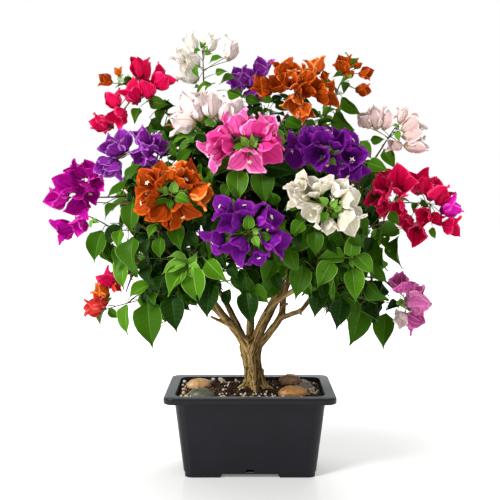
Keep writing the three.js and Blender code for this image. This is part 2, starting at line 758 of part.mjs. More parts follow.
const MASS_MARGIN = 0.5; // millimetres from the plane between two masses
for (const mass of masses) {
  const strangers = masses.filter((other) => other !== mass).flatMap((other) => other.wood);
  mass.keepOff = fused([...limbs, ...strangers, ...heads.map((head) => head.solid)]);
}

for (const { mass, path, leaves, woody } of twigPlans) {
  const draw = drawsFrom(Math.floor(crownDraw() * 4294967296));
  if (woody) {
    const inSpace = path.every((p) => insideBy(p, mass) > TWIG.thick + MASS_MARGIN);
    if (!inSpace || meets(twig(path, TWIG.thick, TWIG.thin, CLEAR), mass.keepOff)) continue;
    mass.twigs.push(twig(path, TWIG.thick, TWIG.thin));
  }
  leaves.forEach((share, number) => {
    const second = share > 0.5;
    const [from, to] = second ? [path[1], path[2]] : [path[0], path[1]];
    const foot = from.clone().lerp(to, second ? 2 * share - 1 : 2 * share);
    for (let attempt = 0; attempt < LEAF_TRIES; attempt++) {
      const place = leafPlace(foot, to.clone().sub(from).normalize(), number + attempt, draw);
      const size = mix(...LEAF_SIZES, draw());
      const points = leafPoints(place, size, 0);
      if (!points.every((p) => insideBy(p, mass) > MASS_MARGIN)) continue;
      const grown = solidFrom(leafPoints(place, size, CLEAR), LEAF_FACES);
      if (meets(grown, mass.keepOff) || mass.leaves.some((leaf) => meets(grown, leaf))) continue;
      mass.leaves.push(solidFrom(points, LEAF_FACES));
      break;
    }
  });
}

for (const mass of masses) {
  const solid = mainBody(fused([...mass.wood, ...mass.twigs, ...mass.leaves]).subtract(keepOff));
  group.add(meshOf(solid, `foliage_${mass.name}`, materials.leaf));
}

export default group;
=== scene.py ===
# %% [markdown]
# # A bougainvillea bush in its pot
#
# The bush comes packed as plain solids: a pot, its soil, five pebbles, a trunk, twelve boughs,
# twelve masses of leaves and twenty-eight flower heads. They fix where each thing is and how
# large. This lesson gives each of them the surface and the fine parts that the eye expects.

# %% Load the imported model
import math

import bpy
import numpy as np
from mathutils import Matrix, Vector, kdtree, noise


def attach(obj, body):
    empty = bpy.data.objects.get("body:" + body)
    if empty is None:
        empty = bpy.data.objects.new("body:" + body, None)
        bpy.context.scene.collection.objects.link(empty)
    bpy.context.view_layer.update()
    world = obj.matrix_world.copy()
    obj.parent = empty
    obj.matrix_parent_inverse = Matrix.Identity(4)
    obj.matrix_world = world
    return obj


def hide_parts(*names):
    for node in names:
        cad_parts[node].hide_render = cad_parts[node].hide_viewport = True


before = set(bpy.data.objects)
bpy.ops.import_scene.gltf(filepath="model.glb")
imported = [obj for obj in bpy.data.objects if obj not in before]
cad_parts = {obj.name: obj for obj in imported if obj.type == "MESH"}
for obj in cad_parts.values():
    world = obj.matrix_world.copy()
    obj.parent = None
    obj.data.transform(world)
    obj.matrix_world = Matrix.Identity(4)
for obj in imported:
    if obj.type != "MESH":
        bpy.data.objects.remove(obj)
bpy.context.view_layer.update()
MM = 0.001  # sizes in this lesson are in millimetres, and Blender's are in metres

# %% [markdown]
# ## Camera
#
# The photo was taken from just above the middle of the bush, looking a little down. A camera
# can be placed by eye, but here its distance and tilt were worked out from the pot's rim and
# foot, so that what is measured in the photo falls in the same place in the render.

# %% Camera at the photo's viewing angle
FRAME_PX = 500
FOCAL_PX = 932.5
EYE = Vector((0, -1571.3, 469.1))
DOWN = math.radians(3.605)
SENSOR_WIDTH = 36

lens = bpy.data.cameras.new("photo_camera")
lens.sensor_width = SENSOR_WIDTH
lens.lens = FOCAL_PX / FRAME_PX * SENSOR_WIDTH
camera = bpy.data.objects.new("photo_camera", lens)
camera.location = EYE * MM
camera.rotation_euler = (math.pi / 2 - DOWN, 0, 0)
bpy.context.scene.collection.objects.link(camera)
bpy.context.scene.camera = camera
print("lens of", round(lens.lens, 1), "mm")


def seen_at(point):
    """The column and row of the photo where a point shows."""
    away = point - EYE
    depth = away.y * math.cos(DOWN) - away.z * math.sin(DOWN)
    rise = away.y * math.sin(DOWN) + away.z * math.cos(DOWN)
    return FRAME_PX / 2 + FOCAL_PX * away.x / depth, FRAME_PX / 2 - FOCAL_PX * rise / depth


def behind_pixel(column, row, y):
    """The point at depth y that shows at a column and row of the photo."""
    across = (column - FRAME_PX / 2) / FOCAL_PX
    rise = (FRAME_PX / 2 - row) / FOCAL_PX
    forward = math.cos(DOWN) + rise * math.sin(DOWN)
    up = rise * math.cos(DOWN) - math.sin(DOWN)
    share = (y - EYE.y) / forward
    return EYE + Vector((across * share, forward * share, up * share))


# %% [markdown]
# ## Nodes and colours
#
# Every material and every Geometry Nodes tree below is built by one small function that adds a
# node. The others are short names for what several materials share: a value mapped to another
# range, two colours mixed, a ramp of colours, noise with grains of a real width, and a relief.

# %% Helpers for nodes and colours
def linear(colour):
    """A screen colour, given as a hex number, as the linear RGBA that shaders take."""
    shares = [(colour >> shift & 255) / 255 for shift in (16, 8, 0)]
    return [s / 12.92 if s <= 0.04045 else ((s + 0.055) / 1.055) ** 2.4 for s in shares] + [1]


def add(tree, kind, inputs=(), **settings):
    """Adds a node with its settings. An input takes a value, or a socket to link it to."""
    node = tree.nodes.new(kind)
    for name, value in settings.items():
        setattr(node, name, value)
    for key, value in dict(inputs).items():
        if isinstance(value, bpy.types.NodeSocket):
            tree.links.new(value, node.inputs[key])
        else:
            node.inputs[key].default_value = value
    return node


def finish_named(name, colour, roughness, sockets=()):
    """A material with plain values on its shader, its tree and its shader."""
    made = bpy.data.materials.new(name)
    made.use_nodes = True
    shader = made.node_tree.nodes["Principled BSDF"]
    shader.inputs["Base Color"].default_value = linear(colour)
    shader.inputs["Roughness"].default_value = roughness
    for socket, value in dict(sockets).items():
        shader.inputs[socket].default_value = value
    return made, made.node_tree, shader


def map_range(tree, value, low, high, first, last, **settings):
    """A value that goes from first to last while another goes from low to high."""
    limits = {"From Min": low, "From Max": high, "To Min": first, "To Max": last}
    return add(tree, "ShaderNodeMapRange", {"Value": value, **limits}, **settings).outputs["Result"]


def blend(tree, share, first, second, **settings):
    """Two colours mixed by a share."""
    inputs = {"Factor": share, 6: first, 7: second}
    return add(tree, "ShaderNodeMix", inputs, data_type="RGBA", **settings).outputs[2]


def ramp(tree, value, stops):
    """The colours that a value runs through, each with the value it stands at."""
    node = add(tree, "ShaderNodeValToRGB", {"Fac": value})
    for _ in stops[2:]:
        node.color_ramp.elements.new(0.5)
    for element, (position, colour) in zip(node.color_ramp.elements, stops):
        element.position = position
        element.color = linear(colour)
    return node.outputs["Color"]


def noisy(tree, place, grain, detail, **inputs):
    """Noise with grains of a width in millimetres."""
    sockets = {"Vector": place, "Scale": 1 / (grain * MM), "Detail": detail, **inputs}
    return add(tree, "ShaderNodeTexNoise", sockets).outputs["Fac"]


def object_place(tree):
    return add(tree, "ShaderNodeTexCoord").outputs["Object"]


def normal_along(tree, axis):
    normal = add(tree, "ShaderNodeNewGeometry").outputs["Normal"]
    return add(tree, "ShaderNodeSeparateXYZ", {0: normal}).outputs[axis]


def place_along(tree, axis):
    return add(tree, "ShaderNodeSeparateXYZ", {0: object_place(tree)}).outputs[axis]


def dress(tree, shader, colour, height, strength, depth):
    """Gives a shader a colour and a relief of so many millimetres."""
    inputs = {"Height": height, "Strength": strength, "Distance": depth * MM}
    relief = add(tree, "ShaderNodeBump", inputs)
    tree.links.new(colour, shader.inputs["Base Color"])
    tree.links.new(relief.outputs["Normal"], shader.inputs["Normal"])


# %% [markdown]
# ## Studio
#
# The bush stands on white, lit softly from the upper left with a bright wash from behind that
# edges the leaves. A white world gives the even part, and three large lamps give the direction.
# The world shows white to the camera but lights the bush with less, so that shade stays. The
# floor is a smooth white card that mirrors the pot's foot faintly. It glows more the further it
# is from the shade, so that it fades into the white behind it without an edge.

# %% Floor, world and lamps
scene = bpy.context.scene
scene.view_settings.view_transform = "Standard"

WORLD_LIGHT = 0.48
PAPER_WHITE = (1, 1, 1, 1)
world = bpy.data.worlds.new("white_studio")
scene.world = world
world.use_nodes = True
sky = world.node_tree
sky.nodes.clear()
seen = add(sky, "ShaderNodeLightPath")
wash = add(sky, "ShaderNodeBackground", {"Color": PAPER_WHITE, "Strength": WORLD_LIGHT})
white = add(sky, "ShaderNodeBackground", {"Color": PAPER_WHITE, "Strength": 1.0})
inputs = {0: seen.outputs["Is Camera Ray"], 1: wash.outputs[0], 2: white.outputs[0]}
both = add(sky, "ShaderNodeMixShader", inputs)
add(sky, "ShaderNodeOutputWorld", {"Surface": both.outputs[0]})

FLOOR_HALF = 9.0  # metres
FLOOR_DROP = -0.1 * MM  # just under the pot's feet
SHADE_MIDDLE = (0.12, 0, 0)  # metres; the lamps throw the shade to the right
GLOW_FROM, GLOW_TO = 0.15, 0.8  # metres from there
floor_mesh = bpy.data.meshes.new("floor")
corners = [(x * FLOOR_HALF, y * FLOOR_HALF, FLOOR_DROP) for x, y in ((-1, -1), (1, -1), (1, 1), (-1, 1))]
floor_mesh.from_pydata(corners, [], [(0, 1, 2, 3)])
floor = bpy.data.objects.new("floor", floor_mesh)
scene.collection.objects.link(floor)
sockets = {"Emission Color": PAPER_WHITE, "Specular IOR Level": 0.35}
card, tree, shader = finish_named("white_card", 0xE6E6E4, 0.22, sockets)
from_shade = add(tree, "ShaderNodeVectorMath", {0: object_place(tree), 1: SHADE_MIDDLE}, operation="SUBTRACT")
away = add(tree, "ShaderNodeVectorMath", {0: from_shade.outputs[0]}, operation="LENGTH").outputs["Value"]
glow = map_range(tree, away, GLOW_FROM, GLOW_TO, 0.17, 0.85, interpolation_type="SMOOTHSTEP")
tree.links.new(glow, shader.inputs["Emission Strength"])
floor_mesh.materials.append(card)


def lamp(name, place, watts, width):
    """A square lamp that looks at the middle of the bush."""
    light = bpy.data.lights.new(name, "AREA")
    light.energy = watts
    light.size = width
    made = bpy.data.objects.new(name, light)
    made.location = place
    made.rotation_euler = (BUSH_MIDDLE - Vector(place)).to_track_quat("-Z", "Y").to_euler()
    scene.collection.objects.link(made)


BUSH_MIDDLE = Vector((0, 0, 0.4))  # metres, as are the lamps' places and widths
lamp("key", (-1.85, -1.85, 1.9), 96, 0.9)
lamp("fill", (2.2, -1.5, 1.2), 10, 1.6)
lamp("rim", (0.5, 1.9, 2.2), 60, 1.4)
print("floor and three lamps")


# %% [markdown]
# ## Pieces and meshes
#
# A finished piece is a plain mesh at the origin. It rides on the imported model's one body, and
# the solids it stands for are hidden. The other helpers are bits of geometry that several steps
# share.

# %% Helpers for meshes
def mesh_named(name, points, faces, edges=()):
    """A mesh from points in millimetres."""
    made = bpy.data.meshes.new(name)
    made.from_pydata([tuple(c * MM for c in p) for p in points], list(edges), faces)
    return made


def shown(name, mesh, *materials):
    """An object at the origin that shows a mesh."""
    mesh.name = name
    for material in materials:
        mesh.materials.append(material)
    made = bpy.data.objects.new(name, mesh)
    scene.collection.objects.link(made)
    return made


def plain(host, name):
    """The mesh that an object's modifiers make, as an object of its own. The host goes."""
    graph = bpy.context.evaluated_depsgraph_get()
    graph.update()
    mesh = bpy.data.meshes.new_from_object(host.evaluated_get(graph), depsgraph=graph)
    bpy.data.objects.remove(host)
    return shown(name, mesh)


def hand_over(piece, slot, nodes=()):
    """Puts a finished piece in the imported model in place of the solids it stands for."""
    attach(piece, "root")
    if nodes:
        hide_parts(*nodes)
    print(piece.name, "has", len(piece.data.polygons), "faces")


def mix(a, b, share):
    return a + (b - a) * share


def clamped(value, low=0, high=1):
    return min(max(value, low), high)


def way_at(rise, turn):
    """The way from a ball's middle to a point of its skin."""
    level = math.sin(rise)
    return Vector((level * math.cos(turn), level * math.sin(turn), -math.cos(rise)))


def square_to(face, way):
    """The way that is nearest to face and square to another."""
    return (face - way * face.dot(way)).normalized()


def finder_of(points):
    """A tree that finds the nearest of many points."""
    finder = kdtree.KDTree(len(points))
    for index, point in enumerate(points):
        finder.insert(point, index)
    finder.balance()
    return finder


def strip_faces(first, rings, count, closed):
    """Faces between rings of count points each, which start at a point's number."""
    for ring in range(rings - 1):
        for k in range(count if closed else count - 1):
            a, b = (first + ring * count + n for n in (k, (k + 1) % count))
            yield ring, k, (a, b, b + count, a + count)


def draws_from(seed):
    """Repeatable random numbers from 0 to 1, the same as the source's."""
    state = seed
    while True:
        state = (state + 0x6D2B79F5) & 0xFFFFFFFF
        t = ((state ^ state >> 15) * (state | 1)) & 0xFFFFFFFF
        t ^= (t + ((t ^ t >> 7) * (t | 61) & 0xFFFFFFFF)) & 0xFFFFFFFF
        yield (t ^ t >> 14) / 4294967296


# %% [markdown]
# ## Pot
#
# The pot is moulded polypropylene: thin tapering walls, a wide flat rim with a rolled edge, and
# four corner feet. A box with bevels would miss the corner radii that change from foot to rim,
# so one closed skin is laid over rounded rings, up the outside and down the inside. The gaps
# between the feet and the drain holes are then cut out with Booleans.

# %% Rounded rings for the pot and its soil
POT_TOP = 138
RIM = {"half": (140, 100), "corner": 17, "thick": 11, "edge": 2.8}
WALL_FOOT = (109.5, 70, 16)  # half width, half depth and corner at the foot
WALL_TOP = (123.5, 82, 19)  # the same under the rim
FOOT_HEIGHT = 8
WALL = 2.6  # thickness
FLOOR_UNDER, FLOOR_TOP = 6, 8.2
SOIL_TOP = 130
RIM_UNDER = POT_TOP - RIM["thick"]
CORNER_STEPS = 10


def rounded_ring(half_width, half_depth, corner, z, steps=CORNER_STEPS):
    """Points round a rectangle with round corners, turning left seen from above."""
    corner = max(corner, 3)
    ring = []
    for quarter, (sx, sy) in enumerate(((1, 1), (-1, 1), (-1, -1), (1, -1))):
        for k in range(steps + 1):
            angle = (quarter + k / steps) * math.pi / 2
            x = sx * (half_width - corner) + corner * math.cos(angle)
            y = sy * (half_depth - corner) + corner * math.sin(angle)
            ring.append((x, y, z))
    return ring


def wall_at(z, inward):
    """Half width, half depth and corner of the pot's wall at a height."""
    share = (z - FOOT_HEIGHT) / (RIM_UNDER - FOOT_HEIGHT)
    return [mix(a, b, share) - inward for a, b in zip(WALL_FOOT, WALL_TOP)]


def skin(rings):
    """Points and faces of a skin over rings of as many points each, closed at both ends."""
    count = len(rings[0])
    last = (len(rings) - 1) * count
    faces = [tuple(reversed(range(count))), tuple(range(last, last + count))]
    faces += [face for _, _, face in strip_faces(0, len(rings), count, True)]
    return [p for ring in rings for p in ring], faces


def rim_edge(z_middle, low, high, steps=4):
    """Rings round one edge of the rim, as its rounding turns from angle low to high."""
    rings = []
    for k in range(steps + 1):
        angle = mix(low, high, k / steps)
        out = RIM["edge"] * (math.cos(angle) - 1)
        half_width, half_depth = (h + out for h in RIM["half"])
        z = z_middle + RIM["edge"] * math.sin(angle)
        rings.append(rounded_ring(half_width, half_depth, RIM["corner"] + out, z))
    return rings


# %% The pot's skin, cuts and smooth shading
quarter = math.pi / 2
pot_rings = [
    # from under the feet up the outside, over the rim and down the inside
    rounded_ring(106.9, 67.4, 12, 0),
    rounded_ring(107.7, 68.2, 13, 0.8),
    rounded_ring(107.9, 68.4, 13, FOOT_HEIGHT - 0.5),
    rounded_ring(*wall_at(FOOT_HEIGHT, 0.4), FOOT_HEIGHT),
    rounded_ring(*wall_at(FOOT_HEIGHT + 1, 0), FOOT_HEIGHT + 1),
    rounded_ring(*wall_at(RIM_UNDER - 2, 0), RIM_UNDER - 2),
    rounded_ring(*wall_at(RIM_UNDER, -1.2), RIM_UNDER),
    *rim_edge(RIM_UNDER + RIM["edge"], -quarter, 0),
    *rim_edge(POT_TOP - RIM["edge"], 0, quarter),
    rounded_ring(*wall_at(POT_TOP, WALL - 2), POT_TOP),
    rounded_ring(*wall_at(POT_TOP, WALL - 0.6), POT_TOP - 0.5),
    rounded_ring(*wall_at(POT_TOP - 2, WALL), POT_TOP - 2),
    rounded_ring(*wall_at(FLOOR_TOP, WALL), FLOOR_TOP),
]
pot_blank = shown("pot_blank", mesh_named("pot_blank", *skin(pot_rings)))


def block(low, high, slant=0):
    """A block to cut with. With a slant, its ends along x lean in towards the top."""
    rings = []
    for z, lean in ((low[2], 0), (high[2], slant)):
        left, right = low[0] + lean, high[0] - lean
        ends = (low[1], low[1], high[1], high[1])
        rings.append([(x, y, z) for x, y in zip((left, right, right, left), ends)])
    return skin(rings)


def drill(x, y, radius, sides=16):
    turns = [k / sides * 2 * math.pi for k in range(sides)]
    return skin([[(x + radius * math.cos(t), y + radius * math.sin(t), z) for t in turns] for z in (-1, 20)])


cutters = [
    # the hollow under the floor, gaps between the feet, slots in the walls and holes in the floor
    skin([rounded_ring(98, 60, 12, z) for z in (-1, FLOOR_UNDER)]),
    block((-51, -160, -2), (51, 160, FLOOR_UNDER), 6),
    block((-160, -30, -2), (160, 30, FLOOR_UNDER)),
    block((-6.5, -160, 9.2), (6.5, 160, 14.2)),
    *(drill(x, y, 6) for x in (-62, 0, 62) for y in (-32, 32)),
]
knives = []
for number, (points, faces) in enumerate(cutters):
    knife = shown(f"knife_{number}", mesh_named("knife", points, faces))
    cut = pot_blank.modifiers.new(knife.name, "BOOLEAN")
    cut.operation = "DIFFERENCE"
    cut.solver = "EXACT"
    cut.object = knife
    knives.append(knife)
pot = plain(pot_blank, "pot_shell")
for knife in knives:
    bpy.data.objects.remove(knife)
pot.data.shade_smooth()
SHARP_FROM = math.radians(38)
pot.data.set_sharp_from_angle(angle=SHARP_FROM)
even = pot.modifiers.new("even_shading", "WEIGHTED_NORMAL")
even.keep_sharp = True
pot = plain(pot, "pot_shell")

# %% [markdown]
# ### The pot's plastic
#
# Polypropylene leaves the mould with a fine spark-eroded grain. It gives a soft, wide sheen and
# no sharp mirror image. The grain is about a tenth of a millimetre, too fine to show from here,
# so it is drawn four times as coarse, with a broad faint cloud as the plastic cooled unevenly.
# Where the plastic faces up it is paler, partly with pale dust and partly with a painted
# highlight of the light from above, and less so along the front rim, where painted shade fades it.

# %% Polypropylene with a moulded grain
sockets = {"IOR": 1.49, "Specular IOR Level": 0.28}
plastic, tree, shader = finish_named("moulded_polypropylene", 0x0E0D11, 0.4, sockets)
grain = noisy(tree, object_place(tree), 0.4, 2.0)
cloud = noisy(tree, object_place(tree), 45, 3.0)
tone = ramp(tree, cloud, [(0.3, 0x07060D), (0.7, 0x0C0B16)])
# paler where the plastic faces up: dust and a painted highlight; painted shade fades both along the front rim
highest_dust_and_highlight_share = map_range(tree, place_along(tree, "Y"), -94 * MM, -80 * MM, 0.22, 0.75)
dust_and_painted_highlight = map_range(tree, normal_along(tree, "Z"), 0.55, 1.0, 0.0, highest_dust_and_highlight_share)
dress(tree, shader, blend(tree, dust_and_painted_highlight, tone, linear(0x80868A)), grain, 0.25, 0.08)
tree.links.new(map_range(tree, cloud, 0.0, 1.0, 0.33, 0.45), shader.inputs["Roughness"])
pot.data.materials.append(plastic)
hand_over(pot, "pot_plastic", ["pot"])

# %% [markdown]
# ## Soil
#
# Potting mix is a bed of dark crumbs with bits of bark and white grains of perlite. The bed is
# one closed block whose top is pushed up and down by noise and heaped a little at the trunk.
# The loose bits repeat hundreds of times, so Geometry Nodes scatter a few small shapes on it.
# Only the white grains that stand out in the photo are placed one by one.

# %% The bed
TRUNK_FOOT = Vector((8, 8, SOIL_TOP))
CRUMBLY, CRUMBLE_WIDE = 3.2, 17  # height and width of the bed's own ups and downs
HEAP, HEAP_WIDE = 5, 42  # height and width of the heap at the trunk
DIP, DIP_WIDE = 2, 7  # depth and width of the dip along the walls
BED_HALF = (118, 79)


def soil_height(x, y):
    """Height of the soil's top: crumbly all over, heaped at the trunk, lower at the wall."""
    at = Vector((x, y, 0))
    crumbly = CRUMBLY * noise.fractal(at / CRUMBLE_WIDE, 0.9, 2.1, 4)
    heap = HEAP * math.exp(-((at.xy - TRUNK_FOOT.xy).length / HEAP_WIDE) ** 2)
    edge = min(BED_HALF[0] - abs(x), BED_HALF[1] - abs(y))
    return SOIL_TOP + 0.8 + crumbly + heap - DIP * math.exp(-edge / DIP_WIDE)


CLEAR = 0.3  # between the bed and the pot
base = FLOOR_TOP + CLEAR
bed_rings = [
    # from the bed's underside, which lies well inside the pot, up to its rim
    rounded_ring(*wall_at(base, WALL + 8), base, 8),
    rounded_ring(*wall_at(base, WALL + 8), 18, 8),
    rounded_ring(*wall_at(24, WALL + CLEAR), 24, 8),
    rounded_ring(*wall_at(SOIL_TOP, WALL + CLEAR), 122, 8),
]
SIDE_RINGS = len(bed_rings)
top_ring = rounded_ring(*wall_at(SOIL_TOP, WALL + CLEAR), SOIL_TOP, 8)
TOP_RINGS = 34
for step in range(TOP_RINGS):
    share = 1 - step / TOP_RINGS
    spots = [(x * share, y * share) for x, y, _ in top_ring]
    bed_rings.append([(x, y, soil_height(x, y)) for x, y in spots])
bed = shown("soil_bed", mesh_named("soil_bed", *skin(bed_rings)))
bed.data.shade_smooth()

# %% [markdown]
# ### Damp mix
#
# Damp peat is nearly black with brown fibre in it, and it never shines. The colour wanders
# between the two over some four millimetres, the size of a crumb.

# %% Peat mix, and the scatter of crumbs
peat, tree, shader = finish_named("damp_peat_mix", 0x2A1C13, 0.95, {"Specular IOR Level": 0.25})
crumbs = noisy(tree, object_place(tree), 4, 5.0, Roughness=0.7)
dress(tree, shader, ramp(tree, crumbs, [(0.35, 0x140D09), (0.68, 0x4A3122)]), crumbs, 0.8, 1.2)
bed.data.materials.append(peat)
hand_over(bed, "soil", ["soil"])


def new_tree(name, **inputs):
    """A Geometry Nodes tree with named inputs, and its first and last nodes."""
    tree = bpy.data.node_groups.new(name, "GeometryNodeTree")
    tree.interface.new_socket("Base", in_out="INPUT", socket_type="NodeSocketGeometry")
    for title, kind in inputs.items():
        tree.interface.new_socket(title, in_out="INPUT", socket_type="NodeSocket" + kind)
    tree.interface.new_socket("Made", in_out="OUTPUT", socket_type="NodeSocketGeometry")
    return tree, add(tree, "NodeGroupInput")


def made_by(tree, base_mesh, name, values):
    """Runs a tree on a mesh, and gives what it makes as a plain object."""
    host = shown(name + "_base", base_mesh)
    work = host.modifiers.new(tree.name, "NODES")
    work.node_group = tree
    inputs = [s for s in tree.interface.items_tree if s.item_type == "SOCKET" and s.in_out == "INPUT"]
    identifiers = {s.name: s.identifier for s in inputs}
    for title, value in values.items():
        work[identifiers[title]] = value
    return plain(host, name)


def end_tree(tree, geometry, finish):
    """Makes real what a tree has made, gives it its finish, and ends the tree."""
    real = add(tree, "GeometryNodeRealizeInstances", {"Geometry": geometry})
    inputs = {"Geometry": real.outputs["Geometry"], "Material": finish}
    painted = add(tree, "GeometryNodeSetMaterial", inputs)
    add(tree, "NodeGroupOutput", {0: painted.outputs["Geometry"]})


FULL_TURN = (6.283, 6.283, 6.283)  # radians about each axis
sockets = {"Shape": "Object", "PerSquareMetre": "Float", "Seed": "Int", "Smallest": "Float"}
scatter, start = new_tree("crumbs_on_soil", **sockets, Largest="Float", Finish="Material")
seed = start.outputs["Seed"]
inputs = {"Mesh": start.outputs["Base"], "Density": start.outputs["PerSquareMetre"], "Seed": seed}
spots = add(scatter, "GeometryNodeDistributePointsOnFaces", inputs)
shape = add(scatter, "GeometryNodeObjectInfo", {"Object": start.outputs["Shape"]})
inputs = {0: (0, 0, 0), 1: FULL_TURN, "Seed": seed}
tumble = add(scatter, "FunctionNodeRandomValue", inputs, data_type="FLOAT_VECTOR")
inputs = {2: start.outputs["Smallest"], 3: start.outputs["Largest"], "Seed": seed}
size = add(scatter, "FunctionNodeRandomValue", inputs, data_type="FLOAT")
inputs = {"Points": spots.outputs["Points"], "Instance": shape.outputs["Geometry"]}
inputs |= {"Rotation": tumble.outputs[0], "Scale": size.outputs[1]}
bits = add(scatter, "GeometryNodeInstanceOnPoints", inputs)
end_tree(scatter, bits.outputs["Instances"], start.outputs["Finish"])


# %% Crumbs, bark bits and perlite
def lump_rings(squash, rough, seed, sides=7, rows=4):
    """The rings of a small closed lump of unit radius."""
    rings = []
    for row in range(1, rows):
        rise = math.pi * row / rows
        ring = []
        for k in range(sides):
            way = way_at(rise, (k + 0.5 * (row % 2)) / sides * 2 * math.pi)
            way *= 1 + rough * noise.noise(way * 1.7 + Vector((seed, 0, 0)))
            ring.append(Vector([c * s for c, s in zip(way, squash)]))
        rings.append(ring)
    return rings


def lump(name, squash, rough, seed):
    """A small closed lump of unit radius in metres, to scatter."""
    rings = [[tuple(p / MM) for p in ring] for ring in lump_rings(squash, rough, seed)]
    return shown(name, mesh_named(name, *skin(rings)))


ring_count = len(top_ring)
patch_rings = bed_rings[SIDE_RINGS + 2 :]  # loose bits keep off the very edge
patch_points = [p for ring in patch_rings for p in ring]
patch_faces = [face for _, _, face in strip_faces(0, len(patch_rings), ring_count, True)]

GRAVEL_RINGS = 9  # the gravel lies near the wall only
BITS = [
    # name, squash, colour, roughness, per square metre, smallest and largest in mm, seed
    ("peat_crumbs", (1, 0.9, 0.75), 0x241710, 0.95, 22000, 1.1, 3.2, 11),
    ("bark_bits", (1.7, 0.7, 0.4), 0x54351F, 0.85, 10000, 1.4, 4.2, 12),
    ("fibre_bits", (1.3, 0.8, 0.5), 0x8E6844, 0.9, 4200, 1.0, 3.0, 13),
    ("perlite_grains", (1, 0.9, 0.85), 0xEDE9DF, 0.9, 1500, 1.5, 3.8, 14),
    ("cream_gravel", (1.2, 0.95, 0.8), 0xCBB899, 0.6, 7600, 2.2, 4.8, 15),
]
for name, squash, colour, roughness, per_area, smallest, largest, seed in BITS:
    finish = finish_named(name, colour, roughness, {"Specular IOR Level": 0.3})[0]
    shape = lump(name + "_shape", squash, 0.55, seed)
    values = {"Shape": shape, "PerSquareMetre": per_area, "Seed": seed, "Finish": finish}
    values |= {"Smallest": smallest * MM, "Largest": largest * MM}
    faces = patch_faces[: GRAVEL_RINGS * ring_count] if name == "cream_gravel" else patch_faces
    piece = made_by(scatter, mesh_named("soil_patch", patch_points, faces), name, values)
    bpy.data.objects.remove(shape)
    piece.data.shade_smooth()
    hand_over(piece, "soil")

GRAINS = [
    # column and row in the photo, and radius in mm, of the white grains that stand out
    (213.4, 379.4, 3.4), (220.4, 379.2, 4.0), (242.8, 388, 2.0), (219.8, 394.3, 1.8), (241, 394.3, 2.0),
    (244.6, 394.4, 1.8), (234.8, 394.3, 1.5), (253.5, 394.3, 1.7), (261, 394.4, 1.6), (272, 394.3, 1.7),
    (184.4, 381.6, 3.0), (182.8, 385.6, 3.0),
]  # fmt: skip
grain_points, grain_faces = [], []
for number, (column, row, radius) in enumerate(GRAINS):
    front, back = behind_pixel(column, row, -100), behind_pixel(column, row, 100)
    middle = front.lerp(back, 0.5)
    for _ in range(6):  # the soil isn't level, so its height there is found in a few steps
        level = soil_height(middle.x, middle.y) + 0.8 * radius + 0.8
        middle = front.lerp(back, (level - front.z) / (back.z - front.z))
    rings = lump_rings((1, 0.95, 0.9), 0.4, 20 + number, 9, 6)
    points, faces = skin([[tuple(middle + radius * p) for p in ring] for ring in rings])
    grain_faces += [tuple(len(grain_points) + k for k in face) for face in faces]
    grain_points += points
grains = mesh_named("single_perlite", grain_points, grain_faces)
piece = shown("single_perlite", grains, bpy.data.materials["perlite_grains"])
piece.data.shade_smooth()
hand_over(piece, "soil")

# %% [markdown]
# ## Pebbles
#
# Five river pebbles lie on the soil. Water wears a stone to a shape between an egg and a
# cushion, so each starts as a fine sphere that low, slow noise pushes in and out. Their stone
# is banded, with grains of a millimetre, and the wear leaves a soft polish.

# %% Stones in their own colours
PEBBLES = [
    # name, place, half sizes, turn, share sunk, three colours
    ("pebble_tan", (-88, 22), (22, 13, 12), 0.35, 0.3, (0xEAC08A, 0xCC9A60, 0xA67648)),
    ("pebble_green", (-80, -48), (22, 14, 11), -0.1, 0.35, (0x6E6E5A, 0x474B3D, 0x8E7454)),
    ("pebble_brown", (70, 46), (20, 13, 14), 0.1, 0.3, (0x9A6A48, 0x6F4A33, 0xB98F69)),
    ("pebble_grey", (96, 16), (12, 10, 9), 0.6, 0.3, (0x8A8478, 0x666157, 0x9D8F7C)),
    ("pebble_amber", (71, -46), (24, 15, 12), 0.05, 0.25, (0xD29A5C, 0xA86E38, 0x7A522C)),
]


def stone(name, colours):
    """Worn stone: bands about 13 mm apart, bent by noise, and fine dark grains."""
    body, dark, other = colours
    made, tree, shader = finish_named(name, body, 0.42)
    place = object_place(tree)
    bands = noisy(tree, place, 13, 4.0, Distortion=0.8)
    cells = add(tree, "ShaderNodeTexVoronoi", {"Vector": place, "Scale": 1 / (1.6 * MM)})
    grains = cells.outputs["Distance"]
    tone = ramp(tree, bands, [(0.33, dark), (0.5, body), (0.66, other)])
    specks = map_range(tree, grains, 0.0, 0.7, 0.72, 1.0)
    dress(tree, shader, blend(tree, 1.0, tone, specks, blend_type="MULTIPLY"), grains, 0.3, 0.2)
    return made


STEPS, ROWS = 40, 26
NEAR_POLE = 0.012  # the first and last rings are small circles, as a share of the way up
for number, (name, (x, y), half, turn, sunk, colours) in enumerate(PEBBLES):
    rings = []
    middle = Vector((x, y, SOIL_TOP + half[2] * (1 - 2 * sunk)))
    for row in range(ROWS + 1):
        rise = math.pi * clamped(row / ROWS, NEAR_POLE, 1 - NEAR_POLE)
        ring = []
        for k in range(STEPS):
            way = way_at(rise, k / STEPS * 2 * math.pi)
            worn = 0.1 * noise.noise(way * 1.1 + Vector((7 * number, 3, 1)))
            worn += 0.02 * noise.noise(way * 4)
            point = Vector([c * h for c, h in zip(way * (1 + worn), half)])
            point.rotate(Matrix.Rotation(turn, 3, "Z"))
            ring.append(tuple(middle + point))
        rings.append(ring)
    piece = shown("worn_" + name, mesh_named(name, *skin(rings)), stone(name + "_stone", colours))
    piece.data.shade_smooth()
    hand_over(piece, "pebble", [name])

# %% [markdown]
# ## Trunk and boughs
#
# The limbs repeat the source's own sizes: a trunk of rings with five root ridges, and twelve
# boughs that taper along smooth curves. Roots that spread over the soil, a few bare side twigs
# and the knobs of old branches are added. Separate tubes would show a seam at every fork. Here
# they are joined by a voxel remesh, which melts them into one skin, and then the skin is moved
# out and in along its normals to give the bark its furrows, which run along each limb.

